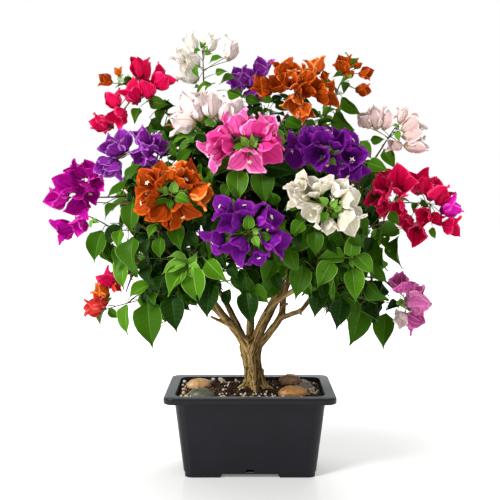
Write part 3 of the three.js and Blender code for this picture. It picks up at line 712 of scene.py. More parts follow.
# %% The source's limbs
TRUNK = [
    # height above the soil, centre along x, radius, depth of the root ridges
    (0, 8, 22, 0.32), (4, 8, 20, 0.26), (11, 7.5, 17.6, 0.14), (22, 6.5, 16.2, 0.06),
    (36, 5, 15.6, 0.03), (50, 3, 16, 0.03), (63, 1.5, 17.5, 0.05), (74, 1, 19.3, 0.05),
    (83, 0.5, 17.5, 0.03), (90, 0, 11.5, 0), (93, 0, 4, 0),
]  # fmt: skip
TRUNK_Y = 8
ROOTS, ROOT_TURN = 5, 1.35
ROOT_KNOTS = [(9, 30), (17, 11), (29, 2.5)]  # out from the trunk's axis, and up from the soil
TAPER = 0.8  # below one, a bough thins soon after its foot
BOUGHS = [
    # mass, path, thick and thin radius, the middle of the mass
    ("left_low", [(-4, 6, 204), (-28, 2, 238), (-55, -4, 268), (-98, -16, 303), (-138, -24, 328)],
        (8.8, 4), (-196, -30, 338)),
    ("top_right",
        [(5, 4, 206), (22, -2, 250), (42, -8, 289), (62, -14, 350), (78, -14, 430), (86, -12, 490)],
        (8.4, 4), (95, -10, 562)),
    ("right_high", [(10, 7, 200), (34, 6, 230), (53, 5, 258), (58, 10, 295), (85, 18, 350), (146, 22, 432)],
        (7, 3.8), (186, 20, 488)),
    ("back_high", [(0, 12, 208), (1, 24, 262), (0, 32, 325), (-4, 70, 385), (-4, 108, 428)],
        (7.6, 4), (0, 168, 478)),
    ("back_left_low", [(-4, 12, 200), (-24, 38, 240), (-50, 75, 285), (-78, 108, 315)],
        (7.2, 4), (-115, 155, 345)),
    ("back_right_low", [(6, 12, 202), (30, 44, 245), (58, 85, 290), (80, 112, 315)],
        (6.8, 4), (115, 160, 345)),
    ("left_high", [(-70, -8, 281), (-92, 4, 325), (-118, 14, 385), (-142, 18, 440)],
        (5.4, 3.6), (-176, 20, 497)),
    ("front_left_low", [(-38, 0, 249), (-55, -35, 280), (-70, -78, 306), (-82, -112, 324)],
        (5.4, 3.6), (-98, -160, 346)),
    ("top_left", [(0, 30, 312), (-16, 28, 370), (-42, 16, 440), (-62, 2, 500)],
        (5.2, 3.6), (-88, -14, 565)),
    ("front_high", [(50, -10, 310), (36, -45, 355), (14, -88, 400), (2, -122, 430)],
        (5.2, 3.6), (-8, -174, 466)),
    ("front_right_low", [(30, -4, 266), (46, -45, 290), (68, -88, 310), (82, -116, 324)],
        (5.4, 3.6), (98, -164, 345)),
    ("right_low",
        [(50, 5, 252), (72, 0, 262), (86, -4, 268), (104, -9, 290), (136, -14, 310), (156, -16, 320)],
        (4.6, 3.4), (206, -20, 338)),
]  # fmt: skip


def evenly(points, count):
    """count points at even steps along a line through many points."""
    flat = np.array([tuple(p) for p in points])
    length = np.concatenate([[0], np.cumsum(np.linalg.norm(np.diff(flat, axis=0), axis=1))])
    at = np.linspace(0, length[-1], count)
    return [Vector([float(np.interp(a, length, flat[:, axis])) for axis in range(3)]) for a in at]


def smooth_path(points, count, fine=20):
    """Even points along the source's centripetal Catmull-Rom curve."""
    knots = [Vector(p) for p in points]
    knots = [2 * knots[0] - knots[1], *knots, 2 * knots[-1] - knots[-2]]
    dense = [knots[1]]
    for a, b, c, d in zip(knots, knots[1:], knots[2:], knots[3:]):
        ab, bc, cd = ((q - p).length ** 0.5 for p, q in ((a, b), (b, c), (c, d)))
        leave = ((b - a) / ab - (c - a) / (ab + bc) + (c - b) / bc) * bc
        arrive = ((c - b) / bc - (d - b) / (bc + cd) + (d - c) / cd) * bc
        for step in range(1, fine + 1):
            t = step / fine
            square = (3 * (c - b) - 2 * leave - arrive) * t**2
            dense.append(b + leave * t + square + (2 * (b - c) + leave + arrive) * t**3)
    return evenly(dense, count)


def side_of(along):
    """A level direction square to a limb or twig."""
    side = Vector((0, 0, 1)).cross(along)
    return Vector((1, 0, 0)) if side.length < 0.01 else side.normalized()


def tube(path, radii, sides=14):
    """A closed tube round a path, with rings that don't twist."""
    rings = []
    side = side_of(path[1] - path[0])
    for i, middle in enumerate(path):
        along = (path[min(i + 1, len(path) - 1)] - path[max(i - 1, 0)]).normalized()
        side = square_to(side, along)
        over = along.cross(side)
        turns = [k / sides * 2 * math.pi for k in range(sides)]
        rings.append([tuple(middle + radii[i] * (side * math.cos(t) + over * math.sin(t))) for t in turns])
    return skin(rings)


# %% Join the limbs into one skin
limb_lines = []  # for the bark: the points and radii of each limb
limb_points, limb_faces = [], []


def add_solid(points, faces):
    shift = len(limb_points)
    limb_points.extend(points)
    limb_faces.extend(tuple(i + shift for i in face) for face in faces)


def add_limb(path, widths):
    add_solid(*tube(path, widths))
    limb_lines.append((path, widths))


heights, centres, radii, lobes = (np.array(column, float) for column in zip(*TRUNK))


def trunk_at(up, column):
    return float(np.interp(up, heights, column))


TRUNK_SIDES = 60
trunk_rings = []
for up in np.concatenate([[-4], np.arange(0, 92, 2.5), [93]]):
    x, radius, lobe = (trunk_at(up, column) for column in (centres, radii, lobes))
    ring = []
    for k in range(TRUNK_SIDES):
        angle = k / TRUNK_SIDES * 2 * math.pi
        out = radius * (1 + lobe * math.cos(ROOTS * angle + ROOT_TURN))
        ring.append((x + out * math.cos(angle), TRUNK_Y + out * math.sin(angle), SOIL_TOP + up))
    trunk_rings.append(ring)
add_solid(*skin(trunk_rings))
trunk_line = [Vector((trunk_at(up, centres), TRUNK_Y, SOIL_TOP + up)) for up in range(-4, 94, 4)]
limb_lines.append((trunk_line, [16] * len(trunk_line)))

for number in range(ROOTS):
    angle = (2 * math.pi * number - ROOT_TURN) / ROOTS
    way = Vector((math.cos(angle), math.sin(angle), 0))
    # the roots aren't of one length, and those that come forward are the shortest
    reach = 41 + 6 * math.cos(3 * number) + 9 * min(way.y, 0)
    knots = [TRUNK_FOOT + way * out + Vector((0, 0, up)) for out, up in (*ROOT_KNOTS, (reach, -5))]
    add_limb(smooth_path(knots, 14), np.linspace(6.4, 3.2, 14).tolist())

for _, knots, (thick, thin), hub in BOUGHS:
    count = 12 * len(knots)
    path = smooth_path(knots, count)
    widths = [mix(thick, thin, (i / (count - 1)) ** TAPER) for i in range(count)]
    # a bough goes on into its mass, where the source has the mass's own stem
    inside = evenly([path[-1], path[-1].lerp(Vector(hub), 0.85)], 14)[1:]
    widths += [mix(thin, 2.4, (i + 1) / len(inside)) for i in range(len(inside))]
    add_limb(path + inside, widths)

STUBS = [
    # foot and tip of each bare side twig as column, row and depth, and its radius at the foot
    ((228.5, 325, 2), (210.5, 316.5, -3), 3.3),
    ((299, 308.5, -4), (301.5, 315, -8), 2.9),
    ((283, 305.5, 6), (288.5, 303.5, 3), 2.7),
]
for foot, tip, width in STUBS:
    path = evenly([behind_pixel(*foot), behind_pixel(*tip)], 8)
    add_limb(path, np.linspace(width, 0.7 * width, 8).tolist())

KNOTS = [
    # height above the soil, turn round the trunk, how far its middle is from the axis, radius
    (33, -0.15, 16, 4.2), (61, 3.5, 15, 5), (72, -0.9, 15, 6), (79, -2.2, 13, 6), (47, -1.9, 14.5, 3.4),
    (24, -2.6, 15, 3.6), (84, 0.5, 12, 5.5), (56, 1.5, 15, 4.5), (40, 2.3, 14.5, 3.5),
]  # fmt: skip
KNOT_FORM = [(-1, 0.15), (-0.7, 0.7), (0, 1), (0.7, 0.7), (1, 0.15)]  # height and width, in radii
for up, turn, out, radius in KNOTS:
    way = Vector((math.cos(turn), math.sin(turn), 0))
    middle = Vector((trunk_at(up, centres), TRUNK_Y, SOIL_TOP + up)) + out * way
    path = [middle + Vector((0, 0, radius * rise)) for rise, _ in KNOT_FORM]
    add_solid(*tube(path, [radius * wide for _, wide in KNOT_FORM], 10))

VOXEL = 1.2  # fine enough for the thinnest limb
wood = shown("limbs", mesh_named("limbs", limb_points, limb_faces))
melt = wood.modifiers.new("melt", "REMESH")
melt.mode = "VOXEL"
melt.voxel_size = VOXEL * MM
ease = wood.modifiers.new("ease", "SMOOTH")
ease.factor = 0.5
ease.iterations = 4
wood = plain(wood, "bark_limbs")
print("limbs joined:", len(wood.data.vertices), "points")

# %% Furrows along each limb
samples = [(number, step) for number, (path, _) in enumerate(limb_lines) for step in range(len(path))]
finder = finder_of([limb_lines[number][0][step] for number, step in samples])

FURROW_WIDE, FURROW_LONG = 1.8, 65  # furrows run along a limb
CRACK_WIDE, CRACK_LONG = 6, 9  # short cracks break them up
LUMP_WIDE = 11  # and the whole limb swells and sinks a little
count = len(wood.data.vertices)
flat = np.empty(count * 3)
wood.data.vertices.foreach_get("co", flat)
spots = flat.reshape(-1, 3) / MM
normals = np.empty(count * 3)
wood.data.vertices.foreach_get("normal", normals)
normals = normals.reshape(-1, 3)
flow = np.empty((count, 3), np.float32)
ridge = np.empty(count, np.float32)
moved = spots.copy()
for i, spot in enumerate(spots):
    point = Vector(spot)
    number, step = samples[finder.find(point)[1]]
    path, widths = limb_lines[number]
    width = widths[step]
    before, after = path[max(step - 1, 0)], path[min(step + 1, len(path) - 1)]
    along = (after - before).normalized()
    side = side_of(along)
    away = point - path[step]
    turn = math.atan2(away.dot(along.cross(side)), away.dot(side))
    travelled = step * (path[1] - path[0]).length + away.dot(along)
    around = Vector((math.cos(turn) * width, math.sin(turn) * width, 0))
    flow[i] = (around.x, around.y, travelled)
    lines = around / FURROW_WIDE + Vector((0, 0, travelled / FURROW_LONG + 5 * number))
    cracks = around / CRACK_WIDE + Vector((0, 0, travelled / CRACK_LONG + 9 * number))
    furrow = min(1, 2.6 * abs(noise.noise(lines) + 0.35 * noise.noise(lines * 2.3)))
    break_up = min(1, 3.5 * abs(noise.noise(cracks)))
    height = 0.85 * furrow + 0.15 * break_up
    ridge[i] = height
    depth = 0.13 * min(width, 11) ** 0.75  # thick limbs have the deeper bark
    moved[i] += normals[i] * (depth * (height - 0.65) * 1.25 + depth * noise.noise(point / LUMP_WIDE))
wood.data.vertices.foreach_set("co", (moved * MM).astype(np.float32).ravel())
wood.data.attributes.new("flow", "FLOAT_VECTOR", "POINT").data.foreach_set("vector", (flow * MM).ravel())
wood.data.attributes.new("ridge", "FLOAT", "POINT").data.foreach_set("value", ridge)
wood.data.shade_smooth()
wood.data.update()

# %% [markdown]
# ### Bark
#
# Old bougainvillea bark is corky and tan, with darker furrows and greyish, dry ridges. The
# furrows are already in the mesh, so its height attribute sets the colour: partly the bark's own
# darker furrows, and partly painted shade deep in the furrows and a painted highlight on the
# ridges. A second attribute, which runs along and round each limb, stretches the fibre noise
# with the limb. Three darker tones lie over that: old patches, painted shade on the upper boughs
# under the crown, and painted shade on the side that faces right, away from the key lamp.

# %% Corky bark
bark, tree, shader = finish_named("corky_bark", 0x8A6A3E, 0.85, {"Specular IOR Level": 0.12})
height = add(tree, "ShaderNodeAttribute", attribute_name="ridge").outputs["Fac"]
along_limb = add(tree, "ShaderNodeAttribute", attribute_name="flow").outputs["Vector"]
stretched = add(tree, "ShaderNodeMapping", {"Vector": along_limb, "Scale": (1, 1, 0.18)})
fibre = noisy(tree, stretched.outputs[0], 1.3, 4.0)
relief = add(tree, "ShaderNodeMath", {0: height, 1: fibre}, operation="ADD").outputs[0]
relief = add(tree, "ShaderNodeMath", {0: relief, 1: 0.62}, operation="MULTIPLY").outputs[0]
# dark furrows to pale ridges: partly bark colour, partly painted shade in the furrows and a painted highlight
# on the ridges
tone = ramp(tree, relief, [(0.3, 0x140C03), (0.52, 0x7E5C28), (0.8, 0xF0CC86)])
DARKER_TONES_AND_PAINTED_SHADE = [
    # what the tone follows, where it starts and is full, its share there, and its colour
    (noisy(tree, along_limb, 22, 3.0), 0.35, 0.7, 0.35, 0x4A351D),
    # painted shade on the upper boughs, which lie under the crown
    (place_along(tree, "Z"), 205 * MM, 270 * MM, 0.5, 0x38210F),
    # painted shade on the side that faces right, away from the key lamp
    (normal_along(tree, "X"), -0.45, 0.7, 0.8, 0x322008),
]
for followed, low, high, share, colour in DARKER_TONES_AND_PAINTED_SHADE:
    tone = blend(tree, map_range(tree, followed, low, high, 0.0, share), tone, linear(colour))
dress(tree, shader, tone, fibre, 0.7, 0.5)
wood.data.materials.append(bark)
hand_over(wood, "bark", ["trunk", *("bough_" + b[0] for b in BOUGHS)])

# %% [markdown]
# ## The crown's plan
#
# Leaves and flowers hang on twigs, so the twigs come first. They repeat the source's seeded
# rule: heads hang on straight carriers, and other twigs grow from each mass's stem to even
# places on a shell round the crown's core. The same random draws give the same places.

# %% Flower heads of the source
CORE = Vector((0, 0, 420))
SHELL = {"x": 256, "y": 228, "up": 172, "down": 214}
CROWN_SEED = 4711
GOLDEN_TURN = math.pi * (3 - math.sqrt(5))
GOLDEN_SHARE = (math.sqrt(5) - 1) / 2
HEADS = [
    # variety, name, middle, half width, half height, how its blooms stand, how many
    ("crimson", "left_top", (-190, -70, 636), 70, 52, "loose", 9),
    ("white", "top", (-78, -8, 692), 60, 44, "loose", 9),
    ("blush", "upper_left", (-68, -128, 602), 60, 42, "loose", 10),
    ("purple", "top", (-2, 26, 664), 40, 38, "loose", 6),
    ("orange", "top", (68, -88, 634), 66, 44, "loose", 12),
    ("orange", "right_top", (160, -8, 668), 60, 44, "loose", 7),
    ("blush", "right", (240, -20, 574), 66, 46, "loose", 9),
    ("purple", "upper_left", (-186, -118, 530), 54, 46, "loose", 10),
    ("magenta", "left", (-299, -40, 458), 54, 64, "loose", 11),
    ("orange", "front_left", (-112, -222, 466), 60, 54, "ring", 12),
    ("pink", "front", (-12, -208, 548), 68, 50, "ring", 13),
    ("purple", "front_right", (114, -184, 534), 64, 48, "ring", 12),
    ("white", "front_right", (112, -228, 446), 62, 52, "ring", 11),
    ("crimson", "right", (294, -46, 448), 60, 60, "loose", 9),
    ("crimson", "right_inner", (226, -84, 450), 50, 56, "loose", 7),
    ("purple", "front", (-4, -246, 412), 62, 52, "ring", 11),
    ("coral", "lower_left", (-250, -60, 304), 42, 44, "loose", 5),
    ("mauve", "lower_right", (262, -50, 288), 46, 50, "loose", 6),
    ("crimson", "back_left_top", (-150, 140, 610), 60, 48, "ring", 10),
    ("orange", "back_left", (-224, 130, 452), 60, 54, "ring", 10),
    ("blush", "back_top", (-40, 190, 592), 60, 46, "ring", 10),
    ("purple", "back", (70, 236, 470), 62, 52, "ring", 10),
    ("pink", "back_right_top", (130, 150, 602), 60, 48, "ring", 10),
    ("magenta", "back", (-84, 238, 448), 60, 54, "ring", 10),
    ("crimson", "back_right", (222, 132, 470), 62, 56, "ring", 10),
    ("white", "back_low", (0, 240, 362), 52, 46, "ring", 8),
    ("orange", "back_right_low", (196, 166, 338), 50, 46, "ring", 8),
    ("mauve", "back_left_low", (-180, 174, 330), 48, 46, "ring", 8),
]
STEM_SHARE = 0.85  # of a mass's stem, where twigs may start
HEAD_STEM = 0.55  # of a head's smaller half, from its middle to the end of its carrier
TWIG_COUNT = 57
LOWEST_SLOPE = -0.67
CLEAR_HALF, CLEAR_UP = 96, 306  # twigs keep this high where they hang over the trunk
LOW_SPRAYS = [
    # ends of the twigs that hang lowest
    (-164, -94, 288), (-206, -30, 302), (-246, -34, 388), (158, -106, 276), (200, -64, 276), (236, -2, 292),
    (-54, -146, 334), (-16, -196, 348), (46, -150, 336), (-118, 128, 290), (150, 110, 292),
]  # fmt: skip
TWIG_ARCH = 0.1
SPRAY_SEEDS, CARRIER_SEEDS, BLOOM_SEEDS, INNER_SEEDS = 1000, 2000, 3000, 4000

hubs = [Vector(b[3]) for b in BOUGHS]
stem_starts = [Vector(b[1][-1]) for b in BOUGHS]
joined = [0] * len(BOUGHS)


def mass_of(point):
    return min(range(len(hubs)), key=lambda m: (point - hubs[m]).length_squared)


def next_start(mass):
    """The next place for a twig's foot on the stem of a mass."""
    share = joined[mass] * GOLDEN_SHARE % 1
    joined[mass] += 1
    return hubs[mass].lerp(stem_starts[mass], STEM_SHARE * share)


def shell_way(slope, turn):
    """A way out from the crown's core, and the shell's half height on that side."""
    level = math.sqrt(1 - slope**2)
    tall = SHELL["down" if slope < 0 else "up"]
    return Vector((level * math.cos(turn), level * math.sin(turn), slope)), tall


carriers = []
for _, _, at, wide, high, _, _ in HEADS:
    middle = Vector(at)
    start = next_start(mass_of(middle))
    way = (middle - start).normalized()
    carriers.append((start, middle - way * HEAD_STEM * min(wide, high), middle))

crown_draw = draws_from(CROWN_SEED)
twig_ends = []
for number in range(TWIG_COUNT):
    slope = 1 - (1 - LOWEST_SLOPE) * (number + 0.5) / TWIG_COUNT
    way, tall = shell_way(slope, number * GOLDEN_TURN)
    shell = 1 / math.hypot(way.x / SHELL["x"], way.y / SHELL["y"], way.z / tall)
    end = CORE + way * mix(0.86, 1, next(crown_draw)) * shell
    if abs(end.x) < CLEAR_HALF:
        end.z = max(end.z, CLEAR_UP)
    twig_ends.append(end)
twig_plans = []
for end in [*twig_ends, *map(Vector, LOW_SPRAYS)]:
    start = next_start(mass_of(end))
    middle = start.lerp(end, 0.5) + Vector((0, 0, TWIG_ARCH * (end - start).length))
    twig_plans.append([start, middle, end])
print(len(twig_plans), "twigs and", len(carriers), "carriers")

# %% [markdown]
# ## Twigs and leaves
#
# Each of the source's twigs now gets finer side twigs, and leaves one by one at the nodes, left
# and right in turn. A bougainvillea leaf is held face outward, with its tip hanging, and leaves
# low in the crown are the largest. Nothing is drawn here: the rule only fills lists of places,
# and Geometry Nodes put one leaf shape at each place afterwards. From the front the photo shows
# where the crown ends and where the sky shows through it, so no leaf is placed there.

# %% The growing rule
UP = Vector((0, 0, 1))
STALK = 0.16  # of a leaf's whole length
twig_lines = []  # path, radii, kind of bark
leaf_places = []  # foot, way of the tip, way of the face, length, tint
LOW, HIGH = 330, 640  # heights between which leaves get smaller
LEAF_LONG = {"low": (46, 70), "high": (28, 46)}
# painted shade: leaves deep inside the crown all take the deep tint
PAINTED_SHADE_WITHIN = 0.68  # of the shell: leaves further in are all deep green


def any_way(draw):
    return Vector((next(draw) - 0.5, next(draw) - 0.5, next(draw) - 0.5))


# The photo's outline of the leaves: the ends of a row, and the lowest row of a column.
SIDES = {
    "row": (50, 90, 110, 130, 150, 170, 190, 230, 260, 290, 320, 350),
    "left": (200, 190, 150, 140, 150, 128, 108, 95, 108, 134, 142, 150),
    "right": (225, 350, 362, 368, 392, 392, 372, 390, 384, 378, 382, 380),
}
UNDERSIDE = {
    "column": (95, 110, 130, 150, 175, 190, 205, 222, 240, 252, 270, 285, 300, 320, 345, 365, 385, 395),
    "row": (300, 312, 322, 332, 322, 306, 310, 288, 286, 310, 293, 281, 298, 314, 330, 328, 328, 300),
}
SKY_GAPS = [
    # column, row and radius of each gap between leaves or heads, in pixels
    (170, 80, 13), (166, 92, 6), (128, 120, 6), (95, 145, 16), (129, 158, 5), (106, 195, 7),
    (180, 62, 9), (212, 75, 7), (330, 108, 9), (215, 108, 5), (362, 128, 8), (380, 160, 9),
    (400, 158, 10), (355, 100, 8), (148, 254, 5), (135, 228, 4), (120, 245, 6), (256, 276, 5),
    (275, 290, 6), (234, 276, 5), (100, 285, 12), (130, 290, 6), (340, 285, 4), (395, 275, 9),
    (104, 190, 9), (113, 205, 8), (100, 212, 8), (122, 215, 5), (126, 196, 5), (369, 232, 4),
    (384, 258, 7), (366, 279, 6), (340, 296, 4), (361, 270, 4), (393, 250, 6), (139, 296, 4),
    (139, 280, 7), (142, 292, 5), (134, 263, 4), (146, 285, 4), (110, 262, 4), (122, 268, 4),
    (375, 250, 5), (177, 294, 3),
]  # fmt: skip


def in_the_open(point):
    """True where the photo shows sky, beside the crown's leaves, under them or between heads."""
    column, row = seen_at(point)
    if any(math.hypot(column - c, row - r) < radius for c, r, radius in SKY_GAPS):
        return True
    left, right = (np.interp(row, SIDES["row"], SIDES[side]) for side in ("left", "right"))
    return not left < column < right or row > np.interp(column, UNDERSIDE["column"], UNDERSIDE["row"])


def high_share(height):
    """How far up a place is, from the heights where leaves are largest to where they are smallest."""
    return clamped((height - LOW) / (HIGH - LOW))


def grow_leaf(foot, along, number, tint, draw, size=1.0):
    """Adds a leaf at a node of a twig, held as the source's rule holds it."""
    out = (foot - CORE).normalized()
    side = side_of(along)
    over = along.cross(side)
    turn = (math.pi if number % 2 else 0) + mix(-0.7, 0.7, next(draw))
    below = clamped((CORE.z + SHELL["up"] - foot.z) / SHELL["up"])
    way = side * 0.8 * math.cos(turn) + over * 0.5 * math.sin(turn) + along * 0.45 + out * 0.3
    way = (way - UP * mix(0.4, 1.05, below)).normalized()
    face = square_to(out + UP * 0.45 + any_way(draw) * 1.5, way)
    shortest, longest = (mix(a, b, high_share(foot.z)) for a, b in zip(LEAF_LONG["low"], LEAF_LONG["high"]))
    length = size * mix(shortest, longest, next(draw))
    # painted shade inside the crown: the deep tint
    x, y, z = foot - CORE
    if math.hypot(x / SHELL["x"], y / SHELL["y"], z / SHELL["up" if z > 0 else "down"]) < PAINTED_SHADE_WITHIN:
        tint = "deep"
    if not any(in_the_open(foot + way * length * share) for share in (0.3, 0.6, 1)):
        leaf_places.append((foot, way, face, length, tint))


def curved(start, middle, end, count):
    """Even points on the curve from start to end that bends towards middle."""
    dense = [start.lerp(middle, t).lerp(middle.lerp(end, t), t) for t in np.linspace(0, 1, 4 * count)]
    return evenly(dense, count)


def pick_tint(height, draw):
    """One tint for a whole spray: deeper below and fresher towards the top."""
    share = next(draw) + 0.35 * high_share(height)
    return "deep" if share < 0.42 else "mid" if share < 0.85 else "fresh"


def node_on(path, share):
    """A place at a share of a path's points, and the path's way there."""
    at = share * (len(path) - 1)
    low = min(int(at), len(path) - 2)
    return path[low].lerp(path[low + 1], at - low), (path[low + 1] - path[low]).normalized()


def leafy(path, tint, draw, nodes, first=0.35, size=1.0):
    """Leaves at the nodes of a twig, and one near its tip."""
    for number in range(nodes):
        foot, along = node_on(path, mix(first, 0.97, number / max(nodes - 1, 1)))
        grow_leaf(foot, along, number, tint, draw, size)


def side_twig(path, share, turn, reach):
    """A finer twig from a place on a twig: it leaves at an angle, then its tip drops."""
    start, along = node_on(path, share)
    side = side_of(along)
    way = along * 0.7 + side * math.cos(turn) + along.cross(side) * math.sin(turn) * 0.7 + UP * 0.15
    end = start + way.normalized() * reach
    end.z -= 0.12 * reach
    if in_the_open(end):
        return None
    return curved(start, start.lerp(end, 0.5) + UP * 0.1 * reach, end, 6)


def grow_spray(start, middle, end, draw, thick, nodes, sides):
    """A twig with its side twigs and leaves."""
    path = curved(start, middle, end, 12)
    tint = pick_tint(end.z, draw)
    twig_lines.append((path, np.linspace(thick, 0.9, 12), "woody"))
    leafy(path, tint, draw, nodes, 0.2)
    for number in range(sides):
        share = mix(0.4, 0.92, (number + next(draw)) / sides)
        turn = (math.pi if number % 2 else 0) + mix(-0.6, 0.6, next(draw))
        twig = side_twig(path, share, turn, mix(34, 66, next(draw)))
        if twig is None:
            continue
        twig_lines.append((twig, np.linspace(1.1, 0.6, 6), "green"))
        leafy(twig, tint, draw, 5, 0.4, 0.92)


# %% Grow the crown
for number, (start, middle, end) in enumerate(twig_plans):
    nodes, sides = (8, 4) if end.z > 520 else (9, 5)
    grow_spray(start, middle, end, draws_from(CROWN_SEED + SPRAY_SEEDS + number), 2.3, nodes, sides)

INNER_TWIGS = 44  # short ones that fill the crown's inside, at even places on smaller shells
INNER_HIGHEST, INNER_FALL = 0.95, 1.35  # the slope of the first, and how far the last is under it
for number in range(INNER_TWIGS):
    draw = draws_from(CROWN_SEED + INNER_SEEDS + number)
    slope = INNER_HIGHEST - INNER_FALL * (number + 0.5) / INNER_TWIGS
    way, tall = shell_way(slope, number * GOLDEN_TURN + 0.8)
    end = CORE + way * Vector((SHELL["x"], SHELL["y"], tall)) * mix(0.5, 0.74, next(draw))
    start = stem_starts[mass_of(end)].lerp(hubs[mass_of(end)], 0.5)
    grow_spray(start, start.lerp(end, 0.5) + UP * 6, end, draw, 1.6, 6, 2)

for number, (start, root, middle) in enumerate(carriers):
    draw = draws_from(CROWN_SEED + CARRIER_SEEDS + number)
    bend = start.lerp(root, 0.55) - UP * 0.05 * (root - start).length
    path = curved(start, bend, root, 12)
    twig_lines.append((path, np.linspace(2.2, 1.1, 12), "woody"))
    leafy(path, pick_tint(root.z, draw), draw, 6, 0.35, 0.9)
print(len(leaf_places), "leaves on", len(twig_lines), "twigs")

# %% [markdown]
# ### Leaves that the photo shows
#
# The rule fills the crown, but the eye knows the bush by its nearest leaves. Each of those is
# given by the columns and rows of its foot and tip in the photo. Its depth comes from the
# crown's round form, and a thin stalk joins it to the nearest twig, so it holds from any side.
# A few bare twigs that show beside the leaves are placed the same way, and leaves of the rule
# that would hide a near leaf are left out.

# %% Near leaves
NEAR_LEAVES = {
    # column and row of the foot and of the tip, and how far the blade is turned from the eye
    "deep": [
        (172, 296, 177, 334, 0), (212, 283, 207, 322, 0.2), (246, 291, 252, 328, 0),
        (150, 266, 152, 290, 0.5), (181, 294, 192, 312, 0.8), (231, 290, 228, 311, 0.6),
        (322, 281, 323, 303, 0), (320, 291, 314, 320, 0.2), (342, 299, 336, 331, 0.1),
        (373, 303, 375, 328, 0.6), (262, 166, 300, 173, 0.2), (368, 176, 360, 192, 0),
        (376, 209, 364, 213, 0.4), (204, 136, 194, 148, 0.3), (362, 280, 367, 297, 0.6),
        (398, 303, 385, 311, 0.4), (255, 108, 243, 120, 0.2), (190, 232, 200, 250, 0.3),
        (330, 240, 338, 256, 0.4), (296, 232, 300, 252, 0.2), (275, 272, 282, 292, 0.4),
        (232, 262, 240, 282, 0.5), (152, 240, 146, 262, 0.6), (272, 101, 285, 96, 0.4),
        (290, 103, 277, 94, 0.5), (300, 101, 313, 105, 0.4), (262, 106, 250, 110, 0.4),
        (222, 256, 228, 272, 0.4), (200, 212, 206, 229, 0.4), (182, 238, 188, 252, 0.3),
        (165, 276, 158, 296, 0.4), (372, 238, 366, 256, 0.3), (160, 106, 176, 106, 0.3),
        (240, 272, 246, 292, 0.3), (300, 172, 312, 192, 0.5), (270, 196, 280, 206, 0.3),
        (222, 196, 210, 206, 0.3),
    ],
    "mid": [
        (148, 303, 153, 350, 0), (103, 232, 94, 266, 0.1), (126, 248, 114, 270, 0.2),
        (136, 239, 137, 281, 0.5), (133, 203, 131, 235, 0.1), (162, 238, 161, 262, 0.3),
        (177, 224, 181, 253, 0.1), (155, 292, 155, 308, 0.3), (315, 232, 316, 258, 0.1),
        (303, 267, 295, 302, 0.1), (275, 261, 262, 287, 0.2), (290, 251, 299, 276, 0.3),
        (252, 286, 270, 304, 0.2), (360, 311, 349, 348, 0), (386, 314, 383, 351, 0.4),
        (369, 283, 391, 302, 0.8), (374, 261, 389, 284, 0.95), (382, 238, 388, 273, 1.25),
        (400, 237, 402, 270, 1.2), (389, 236, 390, 254, 1.0), (261, 171, 265, 207, 0),
        (300, 207, 281, 212, 0.4), (398, 230, 372, 238, 0.2), (286, 121, 305, 128, 0.3),
        (308, 112, 322, 118, 0.3), (320, 82, 338, 89, 0.5), (344, 77, 331, 78, 0.5),
        (348, 83, 343, 95, 0.3), (131, 187, 106, 198, 0.7), (144, 168, 124, 188, 0.7),
        (118, 206, 104, 220, 0.5), (159, 133, 172, 146, 0.4), (168, 142, 178, 158, 0.4),
        (192, 152, 176, 168, 0.4), (276, 205, 268, 190, 0.2), (232, 186, 222, 204, 0.4),
        (390, 212, 400, 226, 0.5), (350, 236, 366, 248, 0.3), (246, 98, 262, 104, 0.4),
        (276, 104, 290, 112, 0.3), (262, 97, 275, 103, 0.4), (292, 106, 280, 99, 0.3),
        (270, 110, 262, 116, 0.4), (152, 120, 166, 132, 0.4),
    ],
    "fresh": [
        (128, 305, 128, 336, 0.6), (110, 308, 121, 319, 0.3), (107, 309, 100, 328, 0.9),
        (121, 231, 118, 251, 0.1), (126, 257, 124, 291, 0.5), (150, 286, 127, 300, 0.5),
        (207, 261, 229, 283, 0.2), (303, 223, 289, 241, 0.2), (344, 258, 316, 259, 0.4),
        (331, 262, 316, 291, 0.1), (352, 269, 356, 304, 0.1), (356, 256, 376, 276, 0.1),
        (350, 256, 352, 230, 0.1), (238, 171, 237, 206, 0), (234, 164, 206, 181, 0.3),
        (195, 138, 170, 143, 0.4), (147, 136, 153, 123, 0), (216, 74, 228, 71, 0.2),
        (157, 226, 148, 240, 0.3), (336, 113, 356, 132, 0.95), (343, 97, 363, 115, 1.22),
        (368, 163, 390, 171, 0.3), (384, 150, 396, 170, 0.4), (371, 140, 386, 139, 0.5),
        (361, 142, 372, 160, 0.4), (150, 102, 171, 105, 0.4), (164, 109, 160, 127, 0.2),
        (140, 109, 134, 125, 0.1), (212, 85, 195, 96, 0.4), (222, 59, 208, 64, 0.4),
        (236, 80, 218, 85, 0.5), (197, 67, 199, 79, 0.6), (228, 91, 247, 97, 1.0),
        (193, 268, 200, 308, 0.1), (187, 268, 167, 298, 0.35), (340, 212, 322, 216, 0.5),
        (204, 122, 216, 114, 0.4),
    ],
    "young": [
        (187, 264, 161, 275, 0.65), (186, 262, 166, 257, 0.95), (188, 262, 198, 251, 0.6),
        (190, 265, 208, 279, 0.25), (352, 258, 346, 250, 0.5), (353, 259, 360, 264, 0.5),
        (352, 260, 354, 269, 0.5), (93, 219, 100, 223, 0.4), (93, 220, 91, 229, 0.5),
        (348, 78, 352, 73, 0.4), (348, 79, 341, 84, 0.5), (398, 130, 392, 125, 0.5),
        (398, 131, 399, 142, 0.6), (408, 305, 402, 300, 0.6), (409, 306, 411, 313, 0.6),
        (336, 112, 342, 106, 0.4), (118, 78, 124, 74, 0.4), (120, 80, 121, 86, 0.5),
    ],
}  # fmt: skip


